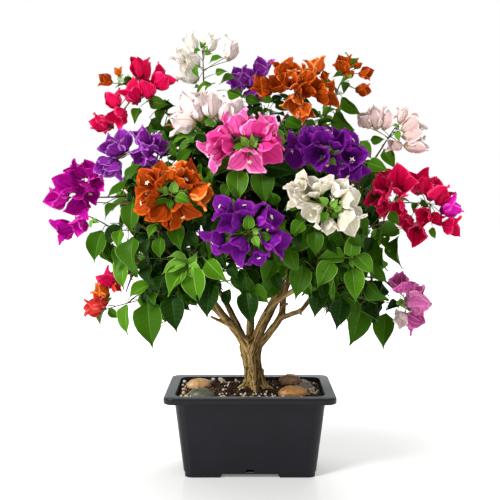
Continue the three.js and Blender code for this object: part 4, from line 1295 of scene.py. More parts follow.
def on_crown(column, row, share):
    """Where a line of sight first meets the crown's round form, or passes nearest to its middle."""
    sight = (behind_pixel(column, row, CORE.y) - EYE).normalized()
    tall = SHELL["up"] if row < seen_at(CORE)[1] else SHELL["down"]
    squash = Vector((1 / SHELL["x"], 1 / SHELL["y"], 1 / tall))
    start, way = (EYE - CORE) * squash, sight * squash
    middle = -start.dot(way) / way.length_squared
    inside = middle**2 - (start.length_squared - share**2) / way.length_squared
    return EYE + sight * (middle - math.sqrt(max(inside, 0)))


NEAR_TWIGS = [
    # columns and rows along twigs that show outside the leaves
    [(176, 282), (152, 297), (128, 303), (109, 308), (98, 312)],
    [(136, 202), (122, 204), (108, 203), (92, 202)],
    [(122, 232), (108, 226), (96, 219), (88, 216)],
    [(352, 296), (372, 299), (390, 303), (402, 306)],
    [(350, 236), (368, 228), (386, 221), (398, 219)],
    [(352, 256), (350, 246), (346, 238)],
    [(128, 303), (136, 296), (146, 292)],
]
PX_PER_MM = FOCAL_PX / -EYE.y
for line in NEAR_TWIGS:
    path = evenly([on_crown(column, row, 0.94) for column, row in line], 8)
    twig_lines.append((path, np.linspace(1.3, 0.8, 8), "woody"))


def faced(foot, way, outward, upward, lean):
    """A face square to a leaf's way, turned to the eye, and then about the way by lean."""
    face = (EYE - foot).normalized() + outward * (foot - CORE).normalized() + upward * UP
    face = square_to(face, way)
    return face * math.cos(lean) + way.cross(face) * math.sin(lean)


near_leaves = []
near_marks = []  # column, row and depth of the middle of each
# a leaf of the rule within so many pixels of a near one, and not so far behind it, would hide it
NEAR_PX, NEAR_DEEP = 16, 12
twig_finder = finder_of([p for path, _, _ in twig_lines for p in path])
for tint, leaves in NEAR_LEAVES.items():
    for foot_column, foot_row, tip_column, tip_row, lean in leaves:
        foot = on_crown(foot_column, foot_row, 1.06)
        apparent = math.hypot(tip_column - foot_column, tip_row - foot_row) / PX_PER_MM
        tip = behind_pixel(tip_column, tip_row, foot.y - 0.2 * apparent)
        way = (tip - foot).normalized()
        length = (tip - foot).length / (1 - STALK)
        foot -= way * STALK * length
        near_leaves.append((foot, way, faced(foot, way, 0.35, 0.25, lean), length, tint))
        near_marks.append((*seen_at(foot.lerp(tip, 0.5)), foot.y))
        root = twig_finder.find(foot)[0]
        if (root - foot).length > 2:  # the stalk runs behind the leaf
            behind = root.lerp(foot, 0.6) + UP * 2 + (foot - EYE).normalized() * 9
            twig_lines.append((curved(root, behind, foot, 6), np.linspace(0.7, 0.5, 6), "green"))


def hides_near_leaf(place):
    """True for a leaf of the rule that stands in front of one that the photo shows."""
    foot, way, _, length, _ = place
    middle = foot + way * 0.6 * length
    column, row = seen_at(middle)
    return any(
        math.hypot(column - c, row - r) < NEAR_PX and middle.y < depth + NEAR_DEEP
        for c, r, depth in near_marks
    )


hidden = sum(map(hides_near_leaf, leaf_places))
leaf_places = [place for place in leaf_places if not hides_near_leaf(place)]
print(len(near_leaves), "near leaves, and", hidden, "others left out in front of them")

# %% [markdown]
# ## Blooms
#
# What looks like a petal is a bract, a coloured leaf as thin as paper. Three of them stand
# round a small flower like the sides of a lantern, each folded outward along its midrib. A head
# is a ring or a loose spray of such blooms on thin stalks, round a shoot tip with young leaves.
# The blooms of the front heads stand where the photo shows them, by the column and row of foot
# and mouth. Those of the back heads grow by the source's rule, and slide behind the crown where
# the photo shows a gap in their place.

# %% Blooms seen in the photo
BLOOM_LONG = 38  # millimetres; sizes below are shares of this
SPOTS = {
    # head: the column and row of each bloom's foot and of the middle of its mouth, and its size
    "crimson_left_top": [
        (140, 79, 140, 62, 1), (153, 88, 167, 76, 1.05), (149, 99, 148, 84, 1), (139, 101, 131, 91, 1),
        (118, 109, 113, 97, 0.9), (125, 110, 117, 119, 0.95), (110, 126, 98, 122, 0.95),
    ],
    "white_top": [
        (196, 53, 190, 41, 0.85), (205, 53, 212, 40, 0.85), (188, 62, 178, 54, 0.75),
        (199, 67, 191, 58, 0.85), (198, 81, 186, 73, 0.95),
    ],
    "blush_upper_left": [
        (191, 120, 189, 101, 1.15), (212, 119, 210, 100, 1.15), (196, 123, 179, 123, 1.15),
        (222, 121, 227, 105, 0.9), (233, 118, 235, 103, 0.9), (201, 121, 196, 107, 1),
        (204, 108, 201, 98, 0.9),
    ],
    "purple_top": [
        (244, 88, 238, 74, 1), (250, 89, 249, 75, 0.95), (261, 78, 262, 65, 0.9),
        (252, 88, 254, 99, 0.8), (245, 84, 236, 82, 0.9),
    ],
    "orange_top": [
        (272, 92, 260, 86, 1.05), (284, 79, 282, 67, 0.95), (283, 91, 277, 84, 0.95),
        (296, 83, 296, 72, 0.9), (303, 84, 308, 74, 0.9), (291, 88, 289, 81, 0.9),
        (299, 87, 304, 92, 0.95), (315, 95, 327, 94, 1.1), (305, 90, 314, 87, 0.95),
        (296, 95, 293, 106, 0.95), (299, 103, 307, 115, 0.95), (317, 75, 316, 62, 0.9),
        (325, 80, 325, 75, 0.42),
    ],
    "orange_right_top": [
        (345, 74, 342, 62, 0.95), (355, 69, 358, 64, 0.42), (359, 74, 367, 74, 0.68),
        (356, 89, 365, 90, 0.7), (346, 78, 350, 73, 0.5),
    ],
    "blush_right": [
        (376, 130, 376, 114, 1.05), (383, 130, 389, 117, 0.85), (370, 128, 363, 117, 0.85),
        (400, 124, 402, 112, 0.75), (402, 131, 415, 122, 1), (402, 137, 415, 135, 0.95),
        (404, 146, 420, 145, 1.05), (402, 146, 392, 146, 0.75),
    ],
    "purple_upper_left": [
        (122, 151, 112, 147, 1.05), (126, 152, 122, 140, 1), (114, 160, 105, 167, 0.95),
        (117, 160, 113, 172, 1), (145, 147, 140, 135, 0.95), (149, 153, 152, 142, 0.95),
        (148, 150, 142, 158, 1.05), (152, 150, 159, 147, 0.8), (147, 155, 150, 163, 0.8),
    ],
    "magenta_left": [
        (84, 177, 76, 169, 0.9), (92, 180, 92, 168, 0.9), (94, 177, 98, 184, 0.85),
        (78, 189, 67, 183, 1.1), (69, 197, 57, 199, 1.05), (84, 198, 80, 207, 1),
        (90, 185, 84, 190, 0.8), (75, 226, 62, 231, 1), (84, 218, 80, 226, 0.8),
        (93, 187, 92, 196, 0.8),
    ],
    "orange_front_left": [
        (156, 188, 149, 181, 1.05), (162, 186, 160, 176, 0.95), (173, 182, 172, 168, 1.05),
        (178, 186, 186, 178, 1), (184, 181, 195, 173, 0.9), (188, 193, 204, 194, 1.1),
        (177, 203, 184, 214, 1.05), (166, 204, 160, 217, 1.05), (157, 198, 143, 200, 1.1),
        (159, 196, 150, 192, 0.9),
    ],
    "pink_front": [
        (232, 142, 218, 133, 1.2), (240, 136, 234, 119, 1.15), (256, 136, 258, 120, 1.1),
        (262, 137, 269, 121, 1.1), (263, 141, 277, 136, 1.05), (260, 145, 270, 152, 1.15),
        (247, 149, 246, 161, 1.2), (234, 147, 222, 147, 1.05), (222, 150, 209, 157, 1.15),
        (248, 138, 247, 124, 1),
    ],
    "purple_front_right": [
        (309, 147, 298, 139, 1), (316, 146, 312, 134, 0.9), (326, 146, 327, 129, 1.1),
        (333, 148, 338, 140, 0.95), (342, 150, 353, 141, 1.1), (345, 156, 350, 157, 1.15),
        (340, 165, 348, 174, 1), (319, 151, 317, 156, 1.15), (308, 152, 294, 154, 1.15),
        (352, 166, 358, 172, 0.8), (328, 156, 329, 164, 0.85),
    ],
    "white_front_right": [
        (304, 192, 298, 184, 0.9), (309, 200, 296, 198, 1.1), (321, 194, 320, 178, 1.1),
        (333, 197, 340, 187, 1.05), (340, 203, 353, 200, 1.15), (341, 211, 350, 222, 1.2),
        (322, 206, 310, 213, 1.15), (329, 217, 329, 228, 0.8), (318, 197, 312, 188, 0.9),
    ],
    "crimson_right_inner": [
        (386, 194, 380, 187, 1), (398, 193, 399, 183, 1.15), (385, 196, 375, 198, 0.9),
        (384, 199, 381, 206, 0.8), (402, 204, 396, 209, 0.85),
    ],
    "crimson_right": [
        (422, 193, 420, 178, 1.1), (430, 201, 433, 184, 1.08), (437, 205, 443, 192, 0.9),
        (429, 213, 421, 216, 0.8), (417, 226, 415, 233, 1.1), (442, 224, 453, 227, 0.85),
        (431, 214, 438, 219, 0.6), (411, 217, 404, 223, 0.75),
    ],
    "purple_front": [
        (232, 212, 222, 207, 0.95), (241, 222, 229, 222, 1.1), (249, 220, 247, 206, 1.05),
        (257, 224, 269, 219, 1.15), (224, 234, 213, 242, 1.1), (243, 237, 237, 249, 1.2),
        (255, 249, 258, 258, 0.85), (264, 240, 277, 243, 1.15), (262, 233, 268, 231, 0.8),
    ],
    "coral_lower_left": [(104, 307, 90, 308, 1.05), (108, 303, 100, 300, 0.8), (112, 288, 118, 287, 0.55)],
    "mauve_lower_right": [
        (399, 292, 398, 280, 1.05), (404, 292, 411, 284, 0.75), (410, 297, 417, 290, 0.8),
        (407, 304, 423, 299, 1.2), (412, 304, 419, 310, 0.8), (405, 314, 417, 323, 1.05),
    ],
}  # fmt: skip
SWELL = {
    # how much larger or smaller all blooms of a head are
    "white_top": 1.16, "blush_right": 1.1, "blush_upper_left": 1.1, "magenta_left": 1.12,
    "crimson_right": 1.12, "crimson_right_inner": 1.14, "crimson_left_top": 1.05,
    "mauve_lower_right": 1, "coral_lower_left": 0.96, "purple_upper_left": 1.02,
    "purple_top": 1.14, "purple_front": 0.94, "pink_front": 0.96, "white_front_right": 0.92,
}  # fmt: skip
STRAY_SPOTS = {
    # blooms of another colour in a head
    "crimson_left_top": [("orange", (112, 83, 105, 80, 0.65)), ("orange", (119, 76, 118, 70, 0.4))],
    "coral_lower_left": [("crimson", (113, 286, 104, 276, 1.0)), ("orange", (109, 297, 98, 289, 0.95))],
    "crimson_right": [("magenta", (440, 212, 454, 206, 0.95))],
    "white_top": [("blush", (228, 61, 232, 46, 0.95))],
    "mauve_lower_right": [("blush", (404, 314, 400, 321, 0.8))],
}
HIDDEN_SPOTS = [
    # column, row and radius where the photo shows no bloom of the back heads
    (112, 188, 22), (204, 224, 14), (165, 95, 20), (150, 122, 16), (305, 110, 12), (320, 102, 10),
    (351, 119, 10), (185, 91, 10), (99, 206, 11), (123, 226, 16), (316, 122, 14), (346, 120, 16),
    (345, 200, 9), (122, 210, 14), (368, 273, 12), (136, 264, 20), (178, 100, 17), (167, 117, 14),
    (162, 128, 14), (287, 113, 10), (329, 124, 10),
]  # fmt: skip
HEART_LEAVES = {
    # young leaves at a head's heart: foot and tip in the photo, turn from the eye, tint
    "orange_front_left": [
        (170, 195, 154, 190, 0.3, "young"), (171, 195, 176, 178, 0.3, "young"),
        (173, 196, 193, 203, 0.1, "fresh"), (171, 200, 170, 211, 0.4, "mid"),
    ],
    "purple_front": [
        (248, 232, 249, 210, 0.1, "fresh"), (247, 234, 226, 239, 0.8, "fresh"),
        (253, 234, 260, 249, 0.2, "young"), (255, 236, 275, 236, 0.5, "mid"),
        (250, 231, 263, 228, 0.7, "young"),
    ],
    "white_front_right": [
        (328, 208, 316, 196, 0.2, "young"), (330, 208, 339, 198, 0.2, "young"),
        (327, 210, 322, 225, 0.1, "fresh"), (331, 212, 340, 218, 0.4, "mid"),
        (332, 209, 344, 207, 0.5, "young"),
    ],
    "pink_front": [
        (247, 148, 239, 135, 0.2, "young"), (246, 149, 231, 148, 0.3, "fresh"),
        (251, 148, 258, 138, 0.3, "young"), (249, 147, 252, 133, 0.5, "young"),
        (249, 149, 254, 158, 0.4, "fresh"),
    ],
    "purple_front_right": [
        (328, 156, 319, 164, 0.3, "fresh"), (329, 157, 337, 166, 0.3, "young"),
        (328, 155, 325, 144, 0.4, "young"),
    ],
    "purple_top": [(250, 92, 242, 97, 0.4, "mid")],
    "coral_lower_left": [(106, 300, 113, 297, 0.5, "mid")],
    "crimson_right": [
        (418, 202, 413, 214, 0.4, "mid"), (432, 225, 436, 240, 0.6, "fresh"),
        (420, 198, 430, 208, 0.9, "mid"),
    ],
    "mauve_lower_right": [(400, 296, 406, 310, 0.7, "young"), (403, 300, 398, 309, 0.6, "mid")],
    "blush_right": [(398, 128, 392, 124, 0.5, "young"), (399, 130, 400, 142, 0.5, "young")],
    "white_top": [
        (202, 50, 199, 40, 0.4, "young"), (203, 50, 210, 45, 0.5, "young"),
        (202, 51, 192, 53, 0.6, "fresh"), (204, 51, 213, 54, 0.6, "fresh"),
        (203, 48, 205, 41, 0.8, "young"),
    ],
}  # fmt: skip

# %% Where blooms stand
MOUTH_SHARE = 0.62  # of a bloom's length, from its foot to the middle of its mouth
HEAD_DEPTH = 0.7  # how far a head's near side bulges, as a share of its half width
MOST_LEAN = 0.97  # no bloom lies quite square to the line of sight
# numbers of the forms that blooms take in turn: open, half open, or slim; made further down
OPEN_FORMS, CLOSED_FORMS, SLIM_FORMS = (0, 1, 4, 3, 0, 5), (2, 1, 6, 3, 2, 5), (7, 8, 2, 7, 6, 8)
SMALL_FORM, SMALL = 6, 0.72  # blooms smaller than this have only begun to open
SLIM_HEADS = ("white_top", "blush_right", "blush_upper_left", "blush_back_top")
DEEP_SHARE = {
    # the share of a head's blooms that have the deeper tones, where that isn't half
    "purple_upper_left": 0, "purple_top": 0, "purple_front_right": 1, "purple_front": 1,
    "orange_front_left": 0.75, "orange_right_top": 1, "white_top": 0, "white_front_right": 0.9,
    "blush_upper_left": 0, "blush_right": 1, "crimson_left_top": 0.2, "crimson_right_inner": 0.1,
    "crimson_right": 0.25, "coral_lower_left": 0, "mauve_lower_right": 0.4,
}  # fmt: skip
bloom_places = {variety: [] for variety, *_ in HEADS}  # foot, way, turn, size, form, tone
stalk_lines = []


def way_round(facing, polar, turn):
    """A way that leans from facing by polar, to the side that turn gives."""
    right = side_of(facing)
    rise = facing.cross(right)
    return facing * math.cos(polar) + (right * math.cos(turn) + rise * math.sin(turn)) * math.sin(polar)


def nearest_on(a, b, point):
    """The point of the line from a to b that is nearest to a point."""
    along = b - a
    return a + along * clamped((point - a).dot(along) / along.length_squared)


def stand_bloom(variety, foot, way, size, form, head, shoot, draw):
    """Adds a bloom, and a stalk to it from the shoot in the middle of its head."""
    turn = next(draw) * 2 * math.pi
    tone = int(len(bloom_places[variety]) * GOLDEN_SHARE % 1 < DEEP_SHARE.get(head, 0.5))
    bloom_places[variety].append((foot, way.normalized(), turn, size, form, tone))
    start = nearest_on(*shoot, foot - way * 12)
    stalk_lines.append((curved(start, start.lerp(foot, 0.5) + UP * 2, foot, 4), [0.75, 0.7, 0.65, 0.8]))


def bloom_by_photo(spot, middle, half, swell):
    """Foot, way and size of a bloom that the photo shows, on the near side of its head."""
    foot_column, foot_row, mouth_column, mouth_row, size = spot
    level = behind_pixel(foot_column, foot_row, middle.y)
    aside = min((level - middle).length / half, 0.96)
    nearer = HEAD_DEPTH * (half - 20) * math.sqrt(1 - aside**2)
    length = BLOOM_LONG * size * swell
    lean = Vector((mouth_column - foot_column, 0, foot_row - mouth_row)) / (MOUTH_SHARE * length * PX_PER_MM)
    if lean.length > MOST_LEAN:
        lean *= MOST_LEAN / lean.length
    way = lean - Vector((0, math.sqrt(1 - lean.length_squared), 0))
    return behind_pixel(foot_column, foot_row, middle.y - nearer), way, length


def shows(foot, way, size):
    """True where a bloom of a back head would be seen in a place that the photo shows without one."""
    column, row = seen_at(foot + way * 0.5 * size)
    peeps = any(math.hypot(column - c, row - r) < radius for c, r, radius in HIDDEN_SPOTS)
    return peeps or in_the_open(foot) or in_the_open(foot + way * 0.7 * size)


def slid_round(foot, way, size):
    """The foot of such a bloom, slid round the crown's back until it doesn't show."""
    off = foot - CORE
    tall = SHELL["up"] if off.z > 0 else SHELL["down"]
    level = Vector((off.x / SHELL["x"], off.y / SHELL["y"], off.z / tall)).length_squared
    for _ in range(14):
        if not shows(CORE + off, way, size):
            break
        off.x, off.z = 0.94 * off.x, 0.97 * off.z
        off.y = SHELL["y"] * math.sqrt(max(level - (off.x / SHELL["x"]) ** 2 - (off.z / tall) ** 2, 0))
    return CORE + off


# %% Heads
POLAR = {"ring": (0.62, 1.5), "loose": (0.3, 1.75)}  # turn of the first and last bloom
for number, (plan, (_, root, middle)) in enumerate(zip(HEADS, carriers)):
    variety, name, _, wide, high, style, blooms = plan
    draw = draws_from(CROWN_SEED + BLOOM_SEEDS + number)
    facing = (middle - CORE).normalized()
    twig_lines.append((evenly([root, middle], 4), [1.1, 1.0, 0.9, 0.8], "green"))
    head, shoot = f"{variety}_{name}", (root, middle)
    forms = SLIM_FORMS if head in SLIM_HEADS else OPEN_FORMS if style == "ring" else CLOSED_FORMS

    shown_blooms = [(variety, spot) for spot in SPOTS.get(head, [])] + STRAY_SPOTS.get(head, [])
    for bloom, (kind, spot) in enumerate(shown_blooms):
        foot, way, size = bloom_by_photo(spot, middle, max(wide, high), SWELL.get(head, 1))
        form = SMALL_FORM if spot[4] < SMALL else forms[bloom % 6]
        stand_bloom(kind, foot, way, size, form, head, shoot, draw)
        if style == "loose" and bloom % 3 == 0 and head not in SLIM_HEADS:  # one more behind it
            behind = foot + (foot - EYE).normalized() * mix(24, 40, next(draw))
            back_way = Vector((way.x, 0.5 + next(draw), way.z))
            stand_bloom(kind, behind, back_way, 0.85 * size, forms[(bloom + 1) % 6], head, shoot, draw)

    for bloom in range(0 if head in SPOTS else blooms):
        spread = math.sqrt((bloom + 0.5) / blooms)
        polar = mix(*POLAR[style], spread) + 0.25 * (next(draw) - 0.5)
        way = way_round(facing, polar, number + bloom * GOLDEN_TURN + 0.4 * (next(draw) - 0.5))
        size = BLOOM_LONG * mix(0.82, 1.04, next(draw))
        depth = mix(0.72, 1.04, next(draw))
        reach = Vector([max(half - 0.8 * size, 6) for half in (wide, wide, high)]) * depth
        foot = slid_round(middle + Vector([w * r for w, r in zip(way, reach)]), way, size)
        if not shows(foot, way, size):
            stand_bloom(variety, foot, way + 0.5 * any_way(draw), size, forms[bloom % 6], head, shoot, draw)

    for foot_column, foot_row, tip_column, tip_row, lean, tint in HEART_LEAVES.get(head, []):
        depth = middle.y - 0.85 * (max(wide, high) - 20)
        foot, tip = behind_pixel(foot_column, foot_row, depth), behind_pixel(tip_column, tip_row, depth - 6)
        way = (tip - foot).normalized()
        near_leaves.append((foot, way, faced(foot, way, 0, 0.3, lean), (tip - foot).length, tint))
        stalk_lines.append((curved(middle, middle.lerp(foot, 0.5), foot, 4), [0.8, 0.75, 0.7, 0.6]))

    for leaf in range(0 if head in HEART_LEAVES else 5 if style == "ring" else 3):
        way = way_round(facing, mix(0.5, 1.0, next(draw)), leaf * GOLDEN_TURN + number)
        face = square_to((facing + UP * 0.4 + any_way(draw) * 0.5).normalized(), way)
        leaf_places.append((middle, way, face, mix(24, 38, next(draw)), "young" if leaf % 2 else "fresh"))
print(sum(map(len, bloom_places.values())), "blooms in", len(HEADS), "heads")

# %% [markdown]
# ## Shapes at places
#
# One tree serves leaves, blooms and flowers. It reads a cloud of points, each with a turn and a
# size, puts the shape there, makes the copies real and gives them four finishes: one each for
# the body, the edge, the veins and the finer lines. The shape's faces say which is theirs.

# %% The tree that puts a shape at each place
ZONES = ("Body", "Edge", "Vein", "Fine")
BODY, EDGE, VEIN, FINE = range(len(ZONES))


def read_attribute(tree, name, data_type):
    node = add(tree, "GeometryNodeInputNamedAttribute", {"Name": name}, data_type=data_type)
    return node.outputs["Attribute"]


growth, start = new_tree("shape_at_places", Shape="Object", **dict.fromkeys(ZONES, "Material"))
shape = add(growth, "GeometryNodeObjectInfo", {"Object": start.outputs["Shape"]})
turn, size = read_attribute(growth, "turn", "QUATERNION"), read_attribute(growth, "size", "FLOAT_VECTOR")
inputs = {"Points": start.outputs["Base"], "Instance": shape.outputs["Geometry"]}
copies = add(growth, "GeometryNodeInstanceOnPoints", {**inputs, "Rotation": turn, "Scale": size})
dressed = add(growth, "GeometryNodeRealizeInstances", {"Geometry": copies.outputs["Instances"]})
zone = read_attribute(growth, "zone", "INT")
for which, title in enumerate(ZONES):
    mine = add(growth, "FunctionNodeCompare", {2: zone, 3: which}, data_type="INT", operation="EQUAL")
    inputs = {"Geometry": dressed.outputs[0], "Selection": mine.outputs["Result"]}
    dressed = add(growth, "GeometryNodeSetMaterial", {**inputs, "Material": start.outputs[title]})
add(growth, "NodeGroupOutput", {0: dressed.outputs["Geometry"]})


def cloud_of(places):
    """Points with a turn and a size each, from feet, ways up, ways forward and sizes."""
    cloud = mesh_named("places", [foot for foot, _, _, _ in places], [])
    turns, sizes = [], []
    for _, forward, upward, length in places:
        across = forward.cross(upward)
        turns.extend(Matrix((across, forward, upward)).transposed().to_quaternion())
        sizes.extend([length * MM] * 3)
    cloud.attributes.new("turn", "QUATERNION", "POINT").data.foreach_set("value", turns)
    cloud.attributes.new("size", "FLOAT_VECTOR", "POINT").data.foreach_set("vector", sizes)
    return cloud


def shape_of(name, points, faces, zones):
    """A shape one metre long, with the zone of each face."""
    mesh = mesh_named(name, [tuple(c / MM for c in p) for p in points], faces)
    mesh.attributes.new("zone", "INT", "FACE").data.foreach_set("value", zones)
    return shown(name, mesh)


def placed(name, shape, places, finishes):
    """A shape at each of many places, with a finish for each of its zones."""
    return made_by(growth, cloud_of(places), name, {"Shape": shape, **dict(zip(ZONES, finishes))})


def joined_as(name, pieces):
    """Several objects as one."""
    lists = {"selected_editable_objects": pieces, "selected_objects": pieces}
    with bpy.context.temp_override(active_object=pieces[0], object=pieces[0], **lists):
        bpy.ops.object.join()
    pieces[0].name = name
    pieces[0].data.name = name
    pieces[0].data.shade_smooth()
    return pieces[0]


def summed(steps):
    """How far a line gets by each of its even steps, if all of them together are one long."""
    return np.concatenate([[0], np.cumsum(steps[1:])]) / (len(steps) - 1)


def read_at(share, *lines):
    """What each of several lines of even steps says at a share of its length."""
    return [float(np.interp(share, np.linspace(0, 1, len(line)), line)) for line in lines]


# %% [markdown]
# ## Leaf
#
# A leaf is broad and round at its foot and draws out to a long drip tip. Its stalk is a sixth of
# its length. The blade folds a little along the midrib, arches down, and waves at the margin,
# and the pairs of side veins lift it in low ridges. The midrib and the thin margin are faces of
# their own and get a paler green: the midrib's is its own, and the margin's is painted light,
# for the light that shines through the thin edge. The leaves that the photo shows have their
# side veins as faces too, which slant to the tip.

# %% Four leaf shapes
LEAF_ROWS = (0, 0.06, 0.16, 0.3, 0.45, 0.6, 0.75, 0.88, 1)
LEAF_HALF = (0.02, 0.165, 0.258, 0.298, 0.284, 0.226, 0.128, 0.038, 0.004)
LEAF_ACROSS = (-1, -0.94, -0.5, -0.035, 0.035, 0.5, 0.94, 1)
MIDRIB = 3  # the strip of faces in the middle
LEAF_FORMS = [
    # fold, bend along the length, depth of the waves, where they start
    (0.36, 0.75, 0.03, 0.0),
    (0.5, 1.05, 0.045, 1.2),
    (0.7, 0.85, 0.04, 2.6),
    (0.44, 1.3, 0.06, 4.0),
]
# these are shares of a leaf's length
PUFF = 0.012  # how far the blade rises between two veins
MIDRIB_DEEP = 0.012
STALK_HALF = 0.011

SIDE_VEINS = (0.08, 0.2, 0.33, 0.47, 0.61, 0.76)
LAST_ROW = 0.92
VEIN_WIDE = 0.02
VEIN_SWEEP = 0.2  # how far the side veins slant towards the tip
veined_rows = [0.0]
for low, high in zip(SIDE_VEINS, (*SIDE_VEINS[1:], LAST_ROW)):
    veined_rows += [low, low + VEIN_WIDE, mix(low + VEIN_WIDE, high, 0.5)]
veined_rows += [LAST_ROW, 1.0]


def leaf_shape(name, form, rows, period, sweep):
    """A leaf on rows from foot to tip. One row in each period is puffed up between the veins."""
    fold, bend, wave, phase = form
    tilt = bend * (0.5 - np.linspace(0, 1, 61))
    y, z = summed(np.cos(tilt)), summed(np.sin(tilt))
    chord = math.atan2(z[-1], y[-1])  # the arch is turned so that foot and tip are level
    y, z = y * math.cos(chord) + z * math.sin(chord), z * math.cos(chord) - y * math.sin(chord)
    points, faces, zones = [], [], []
    for row, start in enumerate(rows):
        for across in LEAF_ACROSS:
            aside = abs(across)
            share = start + sweep * aside * (1 - start) * min(1, 6 * start)
            half = float(np.interp(share, LEAF_ROWS, LEAF_HALF))
            long, lift = read_at(STALK + (1 - STALK) * share, y, z)
            lift += fold * half * aside + wave * math.sin(9 * share + phase + across) * across**2
            lift += PUFF * (row % period == 0) * (aside == 0.5) - MIDRIB_DEEP * (aside < 0.1)
            points.append((across * half * (1 - 0.25 * fold * aside), long, lift))
    columns = len(LEAF_ACROSS)
    for row, column, face in strip_faces(0, len(rows), columns, False):
        faces.append(face)
        margin, side_vein = column in (0, columns - 2), period == 3 and row % 3 == 1
        zones.append(VEIN if column == MIDRIB else EDGE if margin else FINE if side_vein else BODY)
    first = len(points)
    for share in (0, 0.5 * STALK, STALK + 0.02):
        long, lift = read_at(share, y, z)
        for k in range(3):
            angle = k / 3 * 2 * math.pi
            rise = lift - MIDRIB_DEEP + STALK_HALF * math.sin(angle)
            points.append((STALK_HALF * math.cos(angle), long, rise))
    for _, _, (a, b, c, d) in strip_faces(first, 3, 3, True):
        faces.append((a, d, c, b))
        zones.append(VEIN)
    return shape_of(name, points, faces, zones)


leaf_shapes, veined_shapes = [], []
for number, form in enumerate(LEAF_FORMS):
    leaf_shapes.append(leaf_shape(f"leaf_form_{number}", form, LEAF_ROWS, 2, 0))
    veined_shapes.append(leaf_shape(f"veined_leaf_{number}", form, veined_rows, 3, VEIN_SWEEP))

# %% [markdown]
# ### Leaf finish
#
# A leaf has a waxy skin over a soft green body, so it shines in a broad, weak gleam. Its thin
# edges get the paler margin finish, painted light for the light that passes through them.
# Colours are plain and dealt out a spray at a time, because that survives in an exported model,
# and leaves deep inside the crown all get the deep tint, which is painted shade.

# %% Waxy leaves in four tints
WAX = {"Specular IOR Level": 0.06, "Coat Weight": 0.07, "Coat Roughness": 0.34}
LEAF_PARTS = ("waxy_leaf", "leaf_margin", "leaf_rib", "leaf_side_vein")
TINTS = {
    # body, margin (its paler green is painted light), midrib, side veins
    "deep": (0x112C00, 0x34591A, 0x234A0B, 0x1B3A04),
    "mid": (0x2F5601, 0x5E8634, 0x427018, 0x335A07),
    "fresh": (0x42720C, 0x92B45A, 0x709A38, 0x4A7413),
    "young": (0x60902C, 0xACCC72, 0x9CBE58, 0x6C9A34),
}
masses = ["foliage_" + b[0] for b in BOUGHS]
for tint, colours in TINTS.items():
    finishes = [finish_named(f"{part}_{tint}", c, 0.5, WAX)[0] for part, c in zip(LEAF_PARTS, colours)]
    groups = []
    for shapes, places in ((leaf_shapes, leaf_places), (veined_shapes, near_leaves)):
        mine = [place[:4] for place in places if place[4] == tint]
        for form, shape in enumerate(shapes):
            name = f"leaves_{tint}_{shape.name}"
            groups.append(placed(name, shape, mine[form :: len(shapes)], finishes))
    hand_over(joined_as("leaves_" + tint, groups), "leaf", masses)
for shape in [*leaf_shapes, *veined_shapes]:
    bpy.data.objects.remove(shape)

# %% [markdown]
# ## Bracts
#
# A bract leaves the stalk almost sideways, swells, and turns out at its pointed tip. Its line
# seen from the side sets how open the bloom is, so three such lines give blooms from closed
# lantern to open star, and a fourth gives the slim blooms of the pale sorts. The faces at the
# throat and along the midrib get a finish of their own, and so do the margin and the side veins.

# %% Bloom shapes
BRACT_ROWS = (0, 0.08, 0.2, 0.34, 0.49, 0.63, 0.77, 0.9, 1)
BRACT_HALF = (0.05, 0.2, 0.34, 0.43, 0.45, 0.4, 0.28, 0.12, 0.004)
BRACT_ACROSS = (-1, -0.8, -0.45, -0.4, -0.04, 0.04, 0.4, 0.45, 0.8, 1)
BRACT_MIDRIB, BRACT_VEINS = 4, (2, 6)  # strips of faces
THROAT_HALF = 0.03
OPENNESS = {
    # angle from the bloom's axis at throat, belly, shoulder and tip, how far edges turn in, width
    "open": ((1.0, 0.62, 0.76, 1.4), 0.34, 1),
    "half": ((1.15, 0.46, 0.36, 1.05), 0.44, 1),
    "lantern": ((1.25, 0.36, 0.08, 0.7), 0.5, 1),
    "slim": ((1.15, 0.26, 0.0, 0.75), 0.46, 0.76),
}
FORM_KINDS = ("open", "half", "lantern", "half", "open", "half", "lantern", "slim", "slim")


